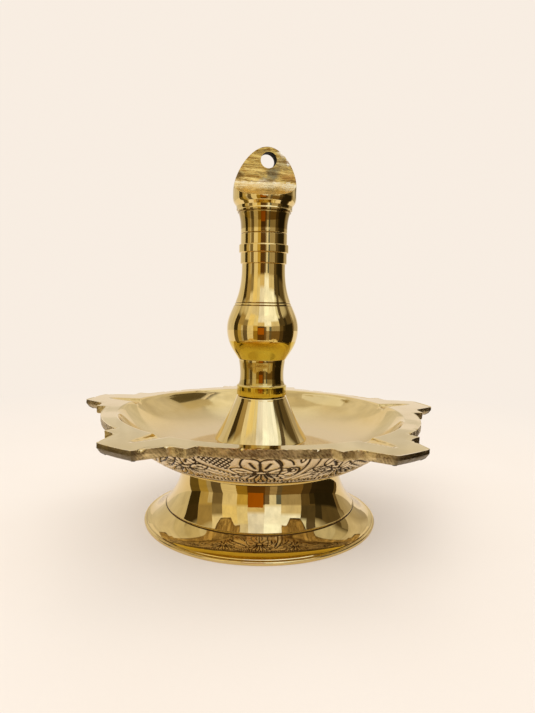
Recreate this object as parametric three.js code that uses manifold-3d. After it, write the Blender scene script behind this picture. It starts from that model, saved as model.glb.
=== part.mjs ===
// Five-wick brass hanging lamp: a spouted oil bowl clamped between a flared foot and a turned stem.
// Millimetres, +Z up. The origin is on the table, on the stem's axis, and one spout points along +Y.

import * as THREE from 'three';
import { mergeVertices } from 'three/addons/utils/BufferGeometryUtils.js';
import Module from 'manifold-3d';

const wasm = await Module();
wasm.setup();

// Fits between the pieces
const seatGap = 0.3;
const boltClearance = 0.35;

// Flared foot
const footRadius = 50;
const footEdgeHeight = 2.5;
const footEdgeRound = 0.6;
const footFlangeRise = 5.6;
const footFlangeWidth = 8.6;
const footFlareHandle = 6.5;
const footNeckRadius = 33.5;
const footHeight = 24;
const footWall = 2.8;
const footWebThickness = 3.6;

// Oil bowl; slopes in degrees above level, where the wall leaves the floor
const bowlFloorThickness = 4.6;
const bowlFloorRadius = 36;
const bowlRimHeight = 22.4;
const bowlMouthRadius = 60.5;
const bowlInsideSlope = 17;
const bowlUndersideSlope = 13;
const bowlLipWall = 2;
const bossHeight = 5.1;
const bossFillet = 1.2;

// Rim plate and its spouts, measured outwards from the bowl: lobe, shoulder, neck and tip
const rimThickness = 3.4;
const rimEdgeRound = 0.4;
const lobeOverhang = 4.8;
const spoutCount = 5;
const spoutFirstAngle = 90;
const spoutShoulderLength = 2;
const spoutShoulderWidth = 39.4;
const spoutNeckLength = 3;
const spoutNeckWidth = 24.4;
const spoutTipLength = 10.4;
const spoutTipWidth = 16.4;
const spoutTipBow = 0.5;
const spoutThickness = 4.1;
const keelInset = 0.9;

// Wick groove in each spout
const grooveMouthWidth = 9;
const grooveMouthDepth = 1.8;
const grooveEndWidth = 2.2;
const grooveEndDepth = 0.35;
const grooveLength = 13.5;
const grooveLead = 4.5;

// Bell between bowl and stem
const bellHeight = 19.1;
const bellBaseRadius = 20.1;
const bellFlareHandle = 5.5;
const bellEdgeBevel = 1;
const bellTopChamfer = 0.7;

// Turned stem, section by section from the bell upwards
const collarRadius = 10.4;
const collarHeight = 4.4;
const collarChamfer = 0.35;
const lowerNeckRadius = 9.25;
const lowerNeckHeight = 4.7;
const bulbRadius = 15;
const bulbLowerHeight = 19.4;
const bulbUpperHeight = 25.6;
const waistRadius = 9.1;
const waistHeight = 2;
const barrelRadius = 9.75;
const barrelHeight = 4;
const ringRadius = 10.4;
const ringHeight = 3.6;
const upperNeckHeight = 6.4;
const knobFlareRadius = 12.2;
const knobFlareHeight = 9.6;
const knobFlareHandle = 5.3;
const knobRadius = 13.25;
const knobUndercutHeight = 1.7;
const knobBandHeight = 4.4;

// How far each curve of the bulb keeps to the direction it starts or ends with
const neckHandle = 7.6;
const bulbLowerHandle = 6.8;
const bulbUpperHandle = 7.9;
const waistHandle = 15.1;

// Fine lines turned into the stem and foot, placed from the section that they belong to
const turnedLineWidth = 0.6;
const turnedLineDepth = 0.3;
const turnedLineSpacing = 1.1;
const neckLineRise = 6.5;
const bulbLineRise = 10;
const upperNeckLineRise = 4.5;
const knobLineDrop = 1.1;

// Hanging tab, filed flat from the stem's domed end
const tabHeight = 18;
const tabThickness = 5;
const tabLean = 1;
const tabShoulderHandle = 7.2;
const tabCrownHandle = 6.9;
const tabFlatStart = 2.9;
const tabRampDrop = 4.6;
const tabRampHandle = 3.4;
const hangHoleRadius = 3.4;
const hangHoleHeight = 12;
const hangHoleOffset = 1.1;
const hangHoleSkew = 12;

// Clamping bolt, washer and nut
const boltRadius = 3;
const boltChamfer = 0.5;
const boltGrip = 15;
const boltTail = 2.4;
const washerRadius = 8.5;
const washerThickness = 1.3;
const nutWidth = 10;
const nutHeight = 5;
const nutChamfer = 0.6;
const nutSides = 6;

// Smoothness of curved surfaces
const roundSteps = 60;
const stemSteps = 42;
const boltSteps = 24;
const curveSteps = 6;
const arcSteps = 8;

// Finishes
const castBrass = { color: 0xcaa65c, roughness: 0.16 };
const turnedBrass = { color: 0xc9a045, roughness: 0.1 };
const stampedBrass = { color: 0xb8934a, roughness: 0.3 };
const platedSteel = { color: 0xb9bcc0, roughness: 0.35 };

// Heights of the seats, worked out from the foot upwards
const webUnderside = footHeight - footWebThickness;
const bowlBase = footHeight + seatGap;
const rimTop = bowlBase + bowlRimHeight;
const bowlFloor = bowlBase + bowlFloorThickness;
const bossTop = bowlFloor + bossHeight;
const bellBase = bossTop + seatGap;
const bellTop = bellBase + bellHeight;
const stemBase = bellTop + seatGap;

// Heights where one turned section of the stem ends and the next begins
const collarTop = stemBase + collarHeight;
const lowerNeck = collarTop + lowerNeckHeight;
const bulbWidest = lowerNeck + bulbLowerHeight;
const waistStart = bulbWidest + bulbUpperHeight;
const barrelStart = waistStart + waistHeight;
const ringStart = barrelStart + barrelHeight;
const ringTop = ringStart + ringHeight;
const knobFlareStart = ringTop + upperNeckHeight;
const knobUndercut = knobFlareStart + knobFlareHeight;
const knobBand = knobUndercut + knobUndercutHeight;
const knobTop = knobBand + knobBandHeight;
const stemTop = knobTop + tabHeight;

// Heights of the fastening, which hangs under the foot's web
const washerTop = webUnderside - seatGap;
const washerBottom = washerTop - washerThickness;
const nutTop = washerBottom - seatGap;
const nutBottom = nutTop - nutHeight;

// Widths that follow from what a piece seats on, goes round or reaches past
const bossRadius = bellBaseRadius - bellEdgeBevel;
const boltHoleRadius = boltRadius + boltClearance;
const nutCornerRadius = nutWidth / 2 / Math.cos(Math.PI / nutSides);
const bowlShoulderRadius = bowlMouthRadius + bowlLipWall;
const lobeRadius = bowlShoulderRadius + lobeOverhang;
const spoutShoulderReach = lobeRadius + spoutShoulderLength;
const spoutNeckReach = spoutShoulderReach + spoutNeckLength;
const spoutReach = spoutNeckReach + spoutTipLength;

const radians = THREE.MathUtils.degToRad;
const axisPoint = new THREE.Vector2(0, 0);

// A solid of revolution about +Z from points given as radius and height.
function revolve(profile, steps = roundSteps) {
  const halfStep = Math.PI / steps;
  return new THREE.LatheGeometry(profile, steps, halfStep).rotateX(Math.PI / 2);
}

// A closed mesh with shared vertices, as a solid that can be joined and cut.
function toSolid(geometry) {
  const bare = geometry.clone();
  bare.deleteAttribute('normal');
  bare.deleteAttribute('uv');
  const merged = mergeVertices(bare);
  const vertProperties = new Float32Array(merged.attributes.position.array);
  const triVerts = new Uint32Array(merged.index.array);
  return new wasm.Manifold(new wasm.Mesh({ numProp: 3, vertProperties, triVerts }));
}

function toGeometry(solid) {
  const mesh = solid.getMesh();
  const geometry = new THREE.BufferGeometry();
  geometry.setAttribute('position', new THREE.BufferAttribute(new Float32Array(mesh.vertProperties), 3));
  geometry.setIndex(new THREE.BufferAttribute(new Uint32Array(mesh.triVerts), 1));
  geometry.computeVertexNormals();
  return geometry;
}

// Round rod between two points, with a radius at each end.
function taperedRod(from, to, fromRadius, toRadius) {
  const direction = to.clone().sub(from);
  const rod = new THREE.CylinderGeometry(
    toRadius, fromRadius, direction.length(), boltSteps, 1, false, Math.PI / boltSteps,
  );
  const turn = new THREE.Quaternion().setFromUnitVectors(
    new THREE.Vector3(0, 1, 0),
    direction.clone().normalize(),
  );
  const middle = from.clone().lerp(to, 0.5);
  return rod.applyQuaternion(turn).translate(middle.x, middle.y, middle.z);
}

// Radius of the circle whose chord and depth are given.
function radiusOfArc(chord, depth) {
  return (chord * chord / 4 + depth * depth) / (2 * depth);
}

// Adds a round arc that leaves the path's last point at the given slope and bends upwards.
function addRisingArc(path, radius, height, slope) {
  const { x, y } = path.currentPoint;
  const chord = Math.hypot(radius - x, height - y);
  const bend = 2 * (Math.atan2(height - y, radius - x) - slope);
  const arcRadius = chord / (2 * Math.sin(bend / 2));
  for (let step = 1; step < arcSteps; step += 1) {
    const angle = slope + bend * step / arcSteps;
    path.lineTo(
      x + arcRadius * (Math.sin(angle) - Math.sin(slope)),
      y + arcRadius * (Math.cos(slope) - Math.cos(angle)),
    );
  }
  path.lineTo(radius, height);
}

// Adds a swell or hollow that starts and ends parallel to the axis.
function addSwell(path, radius, height, startHandle, endHandle) {
  const { x, y } = path.currentPoint;
  path.bezierCurveTo(x, y + startHandle, radius, height - endHandle, radius, height);
}

// A rising profile with a fine V-shaped line turned into it at the given height.
function withTurnedLine(profile, height) {
  const kept = profile.filter((point) => Math.abs(point.y - height) > turnedLineWidth);
  const above = kept.findIndex((point) => point.y > height);
  const lower = kept[above - 1];
  const upper = kept[above];
  const centre = lower.clone().lerp(upper, (height - lower.y) / (upper.y - lower.y));
  const along = upper.clone().sub(lower).setLength(turnedLineWidth / 2);
  const inward = new THREE.Vector2(-along.y, along.x).setLength(turnedLineDepth);
  kept.splice(above, 0, centre.clone().sub(along), centre.clone().add(inward), centre.clone().add(along));
  return kept;
}

// Flared foot: a shell that is open below, with a flat web on top that carries the bowl.
function makeFoot() {
  const lineRadius = footRadius - footFlangeWidth;
  const lineHeight = footEdgeHeight + footFlangeRise;
  const innerNeckRadius = footNeckRadius - footWall;
  const path = new THREE.Path();
  path.moveTo(boltHoleRadius, webUnderside);
  path.lineTo(innerNeckRadius - footWall, webUnderside);
  path.lineTo(innerNeckRadius, webUnderside - footWall);
  path.bezierCurveTo(
    innerNeckRadius, webUnderside - footFlareHandle,
    lineRadius - footFlareHandle, lineHeight,
    lineRadius - footWall / 2, lineHeight - footWall,
  );
  path.lineTo(footRadius - footWall, footEdgeRound);
  path.lineTo(footRadius - footWall, 0);
  path.lineTo(footRadius - footEdgeRound / 2, 0);
  path.lineTo(footRadius, footEdgeRound);
  path.lineTo(footRadius, footEdgeHeight - footEdgeRound);
  path.lineTo(footRadius - footEdgeRound, footEdgeHeight);
  path.quadraticCurveTo(
    (footRadius + lineRadius) / 2, lineHeight - footEdgeRound,
    lineRadius + turnedLineWidth / 2, lineHeight,
  );
  path.lineTo(lineRadius, lineHeight - turnedLineDepth);
  path.lineTo(lineRadius - turnedLineWidth / 2, lineHeight + turnedLineDepth);
  path.bezierCurveTo(
    lineRadius - footFlareHandle, lineHeight + footFlareHandle / 2,
    footNeckRadius, footHeight - footFlareHandle,
    footNeckRadius, footHeight,
  );
  path.lineTo(boltHoleRadius, footHeight);
  path.closePath();
  return revolve(path.getPoints(curveSteps));
}

// Solid body of the bowl, round below and closed inside the rim plate above.
function makeBowlBody() {
  const rimMiddle = rimTop - rimThickness / 2;
  const path = new THREE.Path();
  path.moveTo(0, bowlBase);
  path.lineTo(footNeckRadius, bowlBase);
  addRisingArc(path, bowlShoulderRadius, rimMiddle, radians(bowlUndersideSlope));
  path.lineTo(0, rimMiddle);
  return revolve(path.getPoints(curveSteps));
}

// The space for the oil, round the boss that the bell stands on.
function makeOilSpace() {
  const path = new THREE.Path();
  path.moveTo(bossRadius, bossTop);
  path.lineTo(bossRadius, bowlFloor + bossFillet);
  path.quadraticCurveTo(bossRadius, bowlFloor, bossRadius + bossFillet, bowlFloor);
  path.lineTo(bowlFloorRadius, bowlFloor);
  addRisingArc(path, bowlMouthRadius, rimTop, radians(bowlInsideSlope));
  path.lineTo(bowlMouthRadius, rimTop + rimThickness);
  path.lineTo(0, rimTop + rimThickness);
  path.lineTo(0, bossTop);
  path.closePath();
  return revolve(path.getPoints(curveSteps));
}

function makeBoltHole() {
  const bottom = new THREE.Vector3(0, 0, bowlBase - bowlFloorThickness);
  const top = new THREE.Vector3(0, 0, bossTop + bossHeight);
  return taperedRod(bottom, top, boltHoleRadius, boltHoleRadius);
}

// Plan of one spout, pointing along +X, from its right-hand cusp to its left-hand one.
function spoutOutline() {
  const halfShoulder = spoutShoulderWidth / 2;
  const halfNeck = spoutNeckWidth / 2;
  const halfTip = spoutTipWidth / 2;
  const cuspReach = Math.sqrt(lobeRadius * lobeRadius - halfShoulder * halfShoulder);
  const path = new THREE.Path();
  path.moveTo(cuspReach, -halfShoulder);
  path.lineTo(spoutShoulderReach, -halfShoulder);
  path.quadraticCurveTo(spoutShoulderReach, -halfNeck, spoutNeckReach, -halfNeck);
  path.lineTo(spoutReach - spoutTipBow, -halfTip);
  path.quadraticCurveTo(spoutReach + spoutTipBow, 0, spoutReach - spoutTipBow, halfTip);
  path.lineTo(spoutNeckReach, halfNeck);
  path.quadraticCurveTo(spoutShoulderReach, halfNeck, spoutShoulderReach, halfShoulder);
  path.lineTo(cuspReach, halfShoulder);
  return path.getPoints(curveSteps);
}

function spoutAngle(index) {
  return radians(spoutFirstAngle + 360 * index / spoutCount);
}

// Plan of one spout, turned to its place on the rim.
function placedSpout(index) {
  return spoutOutline().map((point) => point.rotateAround(axisPoint, spoutAngle(index)));
}

// Points between the cusps of one lobe of the rim, on its arc.
function lobeArc(fromCusp, toCusp) {
  const start = fromCusp.angle();
  const sweep = (toCusp.angle() - start + 2 * Math.PI) % (2 * Math.PI);
  const points = [];
  for (let step = 1; step < curveSteps; step += 1) {
    const angle = start + sweep * step / curveSteps;
    points.push(new THREE.Vector2(lobeRadius, 0).rotateAround(axisPoint, angle));
  }
  return points;
}

// Closed plan of the whole rim: spouts joined by the arcs of the lobes.
function rimShape() {
  const outline = [];
  for (let index = 0; index < spoutCount; index += 1) {
    const spout = placedSpout(index);
    const nextSpout = placedSpout(index + 1);
    outline.push(...spout, ...lobeArc(spout.at(-1), nextSpout[0]));
  }
  return new THREE.Shape(outline);
}

// A plate whose lower edge is rounded. It stands above the rim's face, where the trim ends it.
function makeRoundedPlate(shape, thickness) {
  const plate = new THREE.ExtrudeGeometry(shape, {
    depth: thickness,
    steps: 1,
    bevelThickness: rimEdgeRound,
    bevelSize: rimEdgeRound,
    bevelOffset: -rimEdgeRound,
    bevelSegments: 1,
  });
  return plate.translate(0, 0, rimTop - thickness + rimEdgeRound);
}

// The thicker underside of one spout, pointing along +X.
function makeSpoutKeel() {
  const halfNeck = spoutNeckWidth / 2 - keelInset;
  const halfTip = spoutTipWidth / 2 - keelInset;
  const tipReach = spoutReach - spoutTipBow - keelInset;
  const shape = new THREE.Shape();
  shape.moveTo(bowlShoulderRadius, -halfNeck);
  shape.lineTo(spoutNeckReach, -halfNeck);
  shape.lineTo(tipReach, -halfTip);
  shape.lineTo(tipReach, halfTip);
  shape.lineTo(spoutNeckReach, halfNeck);
  shape.lineTo(bowlShoulderRadius, halfNeck);
  shape.closePath();
  return makeRoundedPlate(shape, spoutThickness);
}

// The scoop that one wick lies in, pointing along +X: deep at the bowl and shallow at its far end.
function makeWickGroove() {
  const mouthRadius = radiusOfArc(grooveMouthWidth, grooveMouthDepth);
  const endRadius = radiusOfArc(grooveEndWidth, grooveEndDepth);
  const mouth = new THREE.Vector3(bowlMouthRadius, 0, rimTop + mouthRadius - grooveMouthDepth);
  const end = new THREE.Vector3(bowlMouthRadius + grooveLength, 0, rimTop + endRadius - grooveEndDepth);
  const leadShare = -grooveLead / grooveLength;
  const lead = mouth.clone().lerp(end, leadShare);
  const leadRadius = THREE.MathUtils.lerp(mouthRadius, endRadius, leadShare);
  return taperedRod(lead, end, leadRadius, endRadius);
}

// What is cut off above the rim to leave its face flat.
function makeTopTrim() {
  const size = 4 * spoutReach;
  const height = 2 * spoutThickness;
  return new THREE.BoxGeometry(size, size, height).translate(0, 0, rimTop + height / 2);
}

// Spouted oil bowl, cast in one with its rim plate.
function makeBowl() {
  let bowl = toSolid(makeBowlBody());
  bowl = bowl.add(toSolid(makeRoundedPlate(rimShape(), rimThickness)));
  for (let index = 0; index < spoutCount; index += 1) {
    bowl = bowl.add(toSolid(makeSpoutKeel().rotateZ(spoutAngle(index))));
  }
  bowl = bowl.subtract(toSolid(makeTopTrim()));
  bowl = bowl.subtract(toSolid(makeOilSpace()));
  bowl = bowl.subtract(toSolid(makeBoltHole()));
  for (let index = 0; index < spoutCount; index += 1) {
    bowl = bowl.subtract(toSolid(makeWickGroove().rotateZ(spoutAngle(index))));
  }
  return toGeometry(bowl);
}

// Flared bell that spreads the stem's clamping load over the boss.
function makeBell() {
  const path = new THREE.Path();
  path.moveTo(boltHoleRadius, bellBase);
  path.lineTo(bossRadius, bellBase);
  path.lineTo(bellBaseRadius, bellBase + bellEdgeBevel / 2);
  path.quadraticCurveTo(
    collarRadius + bellFlareHandle, bellBase + bellFlareHandle,
    collarRadius, bellTop - bellTopChamfer,
  );
  path.lineTo(collarRadius - bellTopChamfer / 2, bellTop);
  path.lineTo(boltHoleRadius, bellTop);
  path.closePath();
  return revolve(path.getPoints(curveSteps), stemSteps);
}

// Outline of the turned stem from its seat on the bell to the top of the knob.
function stemOutline() {
  const path = new THREE.Path();
  path.moveTo(collarRadius - collarChamfer, stemBase);
  path.lineTo(collarRadius, stemBase + collarChamfer);
  path.lineTo(collarRadius, collarTop - collarChamfer);
  path.lineTo(collarRadius - collarChamfer, collarTop);
  path.quadraticCurveTo(lowerNeckRadius, collarTop + collarChamfer, lowerNeckRadius, lowerNeck);
  addSwell(path, bulbRadius, bulbWidest, neckHandle, bulbLowerHandle);
  addSwell(path, waistRadius, waistStart, bulbUpperHandle, waistHandle);
  path.lineTo(waistRadius, barrelStart - turnedLineDepth);
  path.lineTo(barrelRadius, barrelStart);
  path.lineTo(barrelRadius, ringStart);
  path.lineTo(ringRadius, ringStart + turnedLineDepth);
  path.lineTo(ringRadius, ringTop - turnedLineDepth);
  path.lineTo(barrelRadius, ringTop);
  path.lineTo(barrelRadius, knobFlareStart);
  path.quadraticCurveTo(barrelRadius, knobFlareStart + knobFlareHandle, knobFlareRadius, knobUndercut);
  path.lineTo(knobRadius, knobBand);
  path.lineTo(knobRadius, knobTop);
  const lineHeights = [
    lowerNeck + neckLineRise,
    bulbWidest + bulbLineRise,
    bulbWidest + bulbLineRise + turnedLineSpacing,
    ringTop + upperNeckLineRise,
    knobUndercut - knobLineDrop - turnedLineSpacing,
    knobUndercut - knobLineDrop,
  ];
  return lineHeights.reduce(withTurnedLine, path.getPoints(curveSteps));
}

// Stem as it leaves the lathe: bored below for the bolt and domed on top.
function makeTurnedStem() {
  const dome = new THREE.CubicBezierCurve(
    new THREE.Vector2(knobRadius, knobTop),
    new THREE.Vector2(knobRadius, knobTop + tabShoulderHandle),
    new THREE.Vector2(tabCrownHandle, stemTop),
    new THREE.Vector2(0, stemTop),
  );
  const profile = [
    new THREE.Vector2(0, stemBase + boltGrip + boltClearance),
    new THREE.Vector2(boltHoleRadius, stemBase + boltGrip),
    new THREE.Vector2(boltHoleRadius, stemBase),
    ...stemOutline(),
    ...dome.getPoints(curveSteps).slice(1),
  ];
  return revolve(profile, stemSteps);
}

// Moves everything above the knob sideways, more and more towards the filed tip.
function leanTip(geometry) {
  const position = geometry.attributes.position;
  for (let index = 0; index < position.count; index += 1) {
    const rise = Math.max(0, position.getZ(index) - knobTop);
    position.setX(index, position.getX(index) + tabLean * rise / tabHeight);
  }
  return geometry;
}

// What the file takes off the tab's front or back: a flat that runs out in a ramp over the knob.
function makeFlatCutter(turn) {
  const reach = 2 * knobRadius;
  const flatEdge = tabThickness / 2;
  const flatStart = knobTop + tabFlatStart;
  const rampEnd = flatStart - tabRampDrop;
  const shape = new THREE.Shape();
  shape.moveTo(flatEdge, stemTop + tabThickness);
  shape.lineTo(flatEdge, flatStart);
  shape.quadraticCurveTo(tabThickness, flatStart - tabRampHandle, knobRadius + flatEdge, rampEnd);
  shape.lineTo(reach, rampEnd);
  shape.lineTo(reach, stemTop + tabThickness);
  shape.closePath();
  const cutter = new THREE.ExtrudeGeometry(shape, {
    depth: 2 * reach,
    steps: 1,
    curveSegments: curveSteps,
    bevelEnabled: false,
  });
  return cutter.translate(0, 0, -reach).rotateX(Math.PI / 2).rotateZ(turn);
}

function makeHangHole() {
  const centre = new THREE.Vector3(hangHoleOffset, 0, knobTop + hangHoleHeight);
  const along = new THREE.Vector3(0, 2 * tabThickness, 0);
  along.applyAxisAngle(new THREE.Vector3(0, 0, 1), radians(hangHoleSkew));
  return taperedRod(
    centre.clone().sub(along), centre.clone().add(along),
    hangHoleRadius, hangHoleRadius,
  );
}

// Stem with its filed hanging tab.
function makeStem() {
  const stem = toSolid(leanTip(makeTurnedStem()))
    .subtract(toSolid(makeFlatCutter(Math.PI / 2)))
    .subtract(toSolid(makeFlatCutter(-Math.PI / 2)))
    .subtract(toSolid(makeHangHole()));
  return toGeometry(stem);
}

// Bolt from the stem's bore, through bell, bowl and foot, to the nut.
function makeBolt() {
  const bottom = nutBottom - boltTail;
  const top = stemBase + boltGrip - seatGap;
  const profile = [
    new THREE.Vector2(0, bottom),
    new THREE.Vector2(boltRadius - boltChamfer, bottom),
    new THREE.Vector2(boltRadius, bottom + boltChamfer),
    new THREE.Vector2(boltRadius, top - boltChamfer),
    new THREE.Vector2(boltRadius - boltChamfer, top),
    new THREE.Vector2(0, top),
  ];
  return revolve(profile, boltSteps);
}

function makeWasher() {
  const profile = [
    new THREE.Vector2(boltHoleRadius, washerBottom),
    new THREE.Vector2(washerRadius, washerBottom),
    new THREE.Vector2(washerRadius, washerTop),
    new THREE.Vector2(boltHoleRadius, washerTop),
    new THREE.Vector2(boltHoleRadius, washerBottom),
  ];
  return revolve(profile, stemSteps);
}

// Six-sided nut before its corners are turned away.
function makeNutBlock() {
  const hexagon = new THREE.Shape();
  for (let index = 0; index < nutSides; index += 1) {
    const angle = 2 * Math.PI * index / nutSides;
    const corner = new THREE.Vector2(nutCornerRadius, 0).rotateAround(axisPoint, angle);
    if (index === 0) {
      hexagon.moveTo(corner.x, corner.y);
    } else {
      hexagon.lineTo(corner.x, corner.y);
    }
  }
  hexagon.holes.push(new THREE.Path().absarc(0, 0, boltHoleRadius, 0, 2 * Math.PI, true));
  const block = new THREE.ExtrudeGeometry(hexagon, {
    depth: nutHeight,
    steps: 1,
    curveSegments: boltSteps / 2,
    bevelEnabled: false,
  });
  return block.translate(0, 0, nutBottom);
}

function makeNut() {
  const turnedAway = [
    new THREE.Vector2(0, nutBottom - nutChamfer),
    new THREE.Vector2(nutCornerRadius - 2 * nutChamfer, nutBottom - nutChamfer),
    new THREE.Vector2(nutCornerRadius + nutChamfer, nutBottom + nutChamfer),
    new THREE.Vector2(nutCornerRadius + nutChamfer, nutTop - nutChamfer),
    new THREE.Vector2(nutCornerRadius - 2 * nutChamfer, nutTop + nutChamfer),
    new THREE.Vector2(0, nutTop + nutChamfer),
  ];
  return toGeometry(toSolid(makeNutBlock()).intersect(toSolid(revolve(turnedAway, boltSteps))));
}

function piece(name, geometry, finish) {
  const mesh = new THREE.Mesh(geometry, new THREE.MeshStandardMaterial({ ...finish, metalness: 1 }));
  mesh.name = name;
  return mesh;
}

const diya = new THREE.Group();
diya.add(
  piece('foot', makeFoot(), turnedBrass),
  piece('spout_bowl', makeBowl(), castBrass),
  piece('bell', makeBell(), turnedBrass),
  piece('hanging_stem', makeStem(), turnedBrass),
  piece('clamp_bolt', makeBolt(), platedSteel),
  piece('clamp_washer', makeWasher(), stampedBrass),
  piece('clamp_nut', makeNut(), platedSteel),
);

export default diya;
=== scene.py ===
"""Looks of a five-wick brass hanging lamp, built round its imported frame.

Outlines are in millimetres, as radius and height; meshes are scaled to metres when they are made.
"""

from math import asin, atan2, ceil, cos, degrees, hypot, pi, radians, sin, sqrt

import bpy
import numpy as np
from mathutils import Matrix, Vector


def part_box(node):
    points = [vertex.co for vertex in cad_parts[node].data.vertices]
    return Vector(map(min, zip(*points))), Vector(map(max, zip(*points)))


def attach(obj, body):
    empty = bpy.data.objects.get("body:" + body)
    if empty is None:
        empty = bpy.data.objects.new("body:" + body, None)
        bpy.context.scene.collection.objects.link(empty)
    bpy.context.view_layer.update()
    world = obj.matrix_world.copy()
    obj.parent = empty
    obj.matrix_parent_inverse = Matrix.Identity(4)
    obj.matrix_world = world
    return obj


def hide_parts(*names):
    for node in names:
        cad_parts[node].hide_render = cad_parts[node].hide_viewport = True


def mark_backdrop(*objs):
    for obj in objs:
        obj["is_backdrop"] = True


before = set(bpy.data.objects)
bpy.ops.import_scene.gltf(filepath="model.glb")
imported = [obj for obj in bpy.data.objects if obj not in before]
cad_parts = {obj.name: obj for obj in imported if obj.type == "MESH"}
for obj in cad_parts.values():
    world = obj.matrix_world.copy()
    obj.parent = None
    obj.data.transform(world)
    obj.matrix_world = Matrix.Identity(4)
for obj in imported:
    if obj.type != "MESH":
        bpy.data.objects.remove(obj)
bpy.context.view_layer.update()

MM = 0.001


def box_mm(node):
    """Lowest and highest corner of a CAD node, in millimetres."""
    low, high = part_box(node)
    return np.array(low) / MM, np.array(high) / MM


foot_high = box_mm("foot")[1]
bowl_low, bowl_high = box_mm("spout_bowl")
bell_low, bell_high = box_mm("bell")
stem_low, stem_high = box_mm("hanging_stem")
bolt_low, bolt_high = box_mm("clamp_bolt")
washer_low, washer_high = box_mm("clamp_washer")
nut_low, nut_high = box_mm("clamp_nut")

# Seats and overall sizes, from the frame
foot_radius = foot_high[0]
foot_top = foot_high[2]
bowl_base = bowl_low[2]
rim_top = bowl_high[2]
spout_reach = bowl_high[1] - 0.08
bell_base = bell_low[2]
bell_top = bell_high[2]
bell_radius = bell_high[0]
stem_base = stem_low[2]
stem_top = stem_high[2]
bolt_radius = bolt_high[0]
bore_radius = bolt_radius + 0.35

# Foot
foot_edge_height = 1.75
foot_bead = 0.85
foot_line_radius = 40.65
foot_line_height = 7.6
foot_neck_radius = 33.5
foot_neck_top = 33.95
foot_flare_handle = 6.5
foot_brim_radius = 48.55
foot_brim_height = 1.95
foot_hollow = ((46.3, 2.3), (43.95, 4.2))
foot_neck_bow = ((37.35, 11.8), (34.55, 15.8))
foot_wall = 2.8
foot_web = 3.6

# Oil bowl
bowl_floor = bowl_base + 4.6
bowl_floor_radius = 36
mouth_radius = 60.5
inside_slope = radians(17)
underside_slope = radians(13)
shoulder_radius = 62.5
rim_thickness = 3.4
boss_top = bell_base - 0.3
boss_radius = 19.1
boss_fillet = 1.2
lip_round = 0.55
rim_tilt = (-0.0104, -0.0088)

# Rim plan: lobes between spouts
spout_count = 5
first_spout = 90
lobe_radius = 67.3
lobe_trim = (1.6, 0.2, 1.1, 0.0, 1.3)
spout_shoulder = (69.3, 19.7)
spout_neck = (72.3, 12.2)
spout_tip_half = 8.2
spout_tip_bow = 0.5
spout_thickness = 4.1
keel_inset = 2.6
rim_corner_round = 0.5
rim_columns = 1000

# Wick groove
groove_mouth_half = 4.0
groove_mouth_depth = 1.5
groove_end_half = 1.1
groove_end_depth = 0.35
groove_length = 13.5
groove_lead = 4.5

# Engraved band under the bowl
band_columns = 1200
band_top_radius = 60.6
band_height = 19.6
band_step = 0.32
band_plan_radius = 53
band_units = 6
band_turn = -16
engrave_half_width = 0.37
engrave_depth = 0.4
tick_spacing = 1.45
pillow_reach = 1.3
pillow_height = 0.26

# Bell and stem, section by section
bell_bow = (5.5, 5.8)
collar_radius = 10.7
collar_height = 4.4
collar_chamfer = 0.35
lower_neck = (9.35, 62.8)
lower_neck_bow = ((9.35, 65.3), (9.75, 67.3))
lower_neck_top = (9.95, 69.0)
bulb_foot_bow = (11.6, 72.0)
bulb = (15.2, 82.2)
waist = (9.2, 107.8)
bulb_lower_handle = 6.8
bulb_upper_handle = 7.9
waist_handle = 15.1
barrel_radius = 9.8
barrel_start = 109.8
ring_radius = 10.45
ring_start = 113.8
ring_top = 117.4
knob_flare_start = 123.8
knob_flare_handle = 3.4
knob_flare = (10.8, 130.4)
knob_rings = ((11.15, 131.5), (11.75, 133.1))
knob_radius = 13.25
knob_band = 135.1
knob_top = 139.5
turned_line_width = 0.62
turned_line_depth = 0.26
turned_unevenness = 0.03
stem_lines = (69.15, 92.2, 93.3, 121.9, 130.45, 131.55)

# Hanging tab
tab_half_thickness = 2.5
tab_lean = 0.75
tab_shoulder_handle = 7.2
tab_crown_handle = 6.9
tab_flat_start = knob_top + 3.3
tab_ramp_control = (4.5, 138.9)
tab_ramp_end = (14.2, 135.6)
tab_right_fullness = 0.25
tab_crease = 30
hang_hole_radius = 3.2
hang_hole_centre = (0.9, 151.75)
hang_hole_skew = radians(10)


# Unevenness, curves and circles

def ripple(points, wavelength, seed):
    """Smooth hand-made unevenness, about -1 to 1, at points given in rows, in millimetres."""
    points = np.asarray(points, float)
    random = np.random.default_rng(seed)
    total = np.zeros(points.shape[:-1])
    waves = 7
    for _ in range(waves):
        direction = random.normal(size=points.shape[-1])
        direction /= np.linalg.norm(direction)
        frequency = 2 * pi / (wavelength * random.uniform(0.6, 1.6))
        total += np.sin(points @ direction * frequency + random.uniform(0, 2 * pi))
    return total / sqrt(waves)


def smooth_step(value, low, high):
    share = np.clip((value - low) / (high - low), 0, 1)
    return share * share * (3 - 2 * share)


def curve_at(share, *points):
    """Place on a smooth curve from the first point to the last, drawn aside by those between."""
    points = [np.asarray(point, float) for point in points]
    while len(points) > 1:
        points = [near * (1 - share) + far * share for near, far in zip(points, points[1:])]
    return points[0]


def round_angles(count):
    return np.arange(count) * 2 * pi / count


def circle(radius, angles, height):
    """Points round the axis. Radius and height may differ from point to point or ring to ring."""
    return np.stack(np.broadcast_arrays(radius * np.cos(angles), radius * np.sin(angles), height), -1)


def lengths_along(path):
    """Length of a path up to each of its points."""
    return np.append(0, np.cumsum(np.linalg.norm(np.diff(path, axis=0), axis=1)))


# Outlines in radius and height

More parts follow.
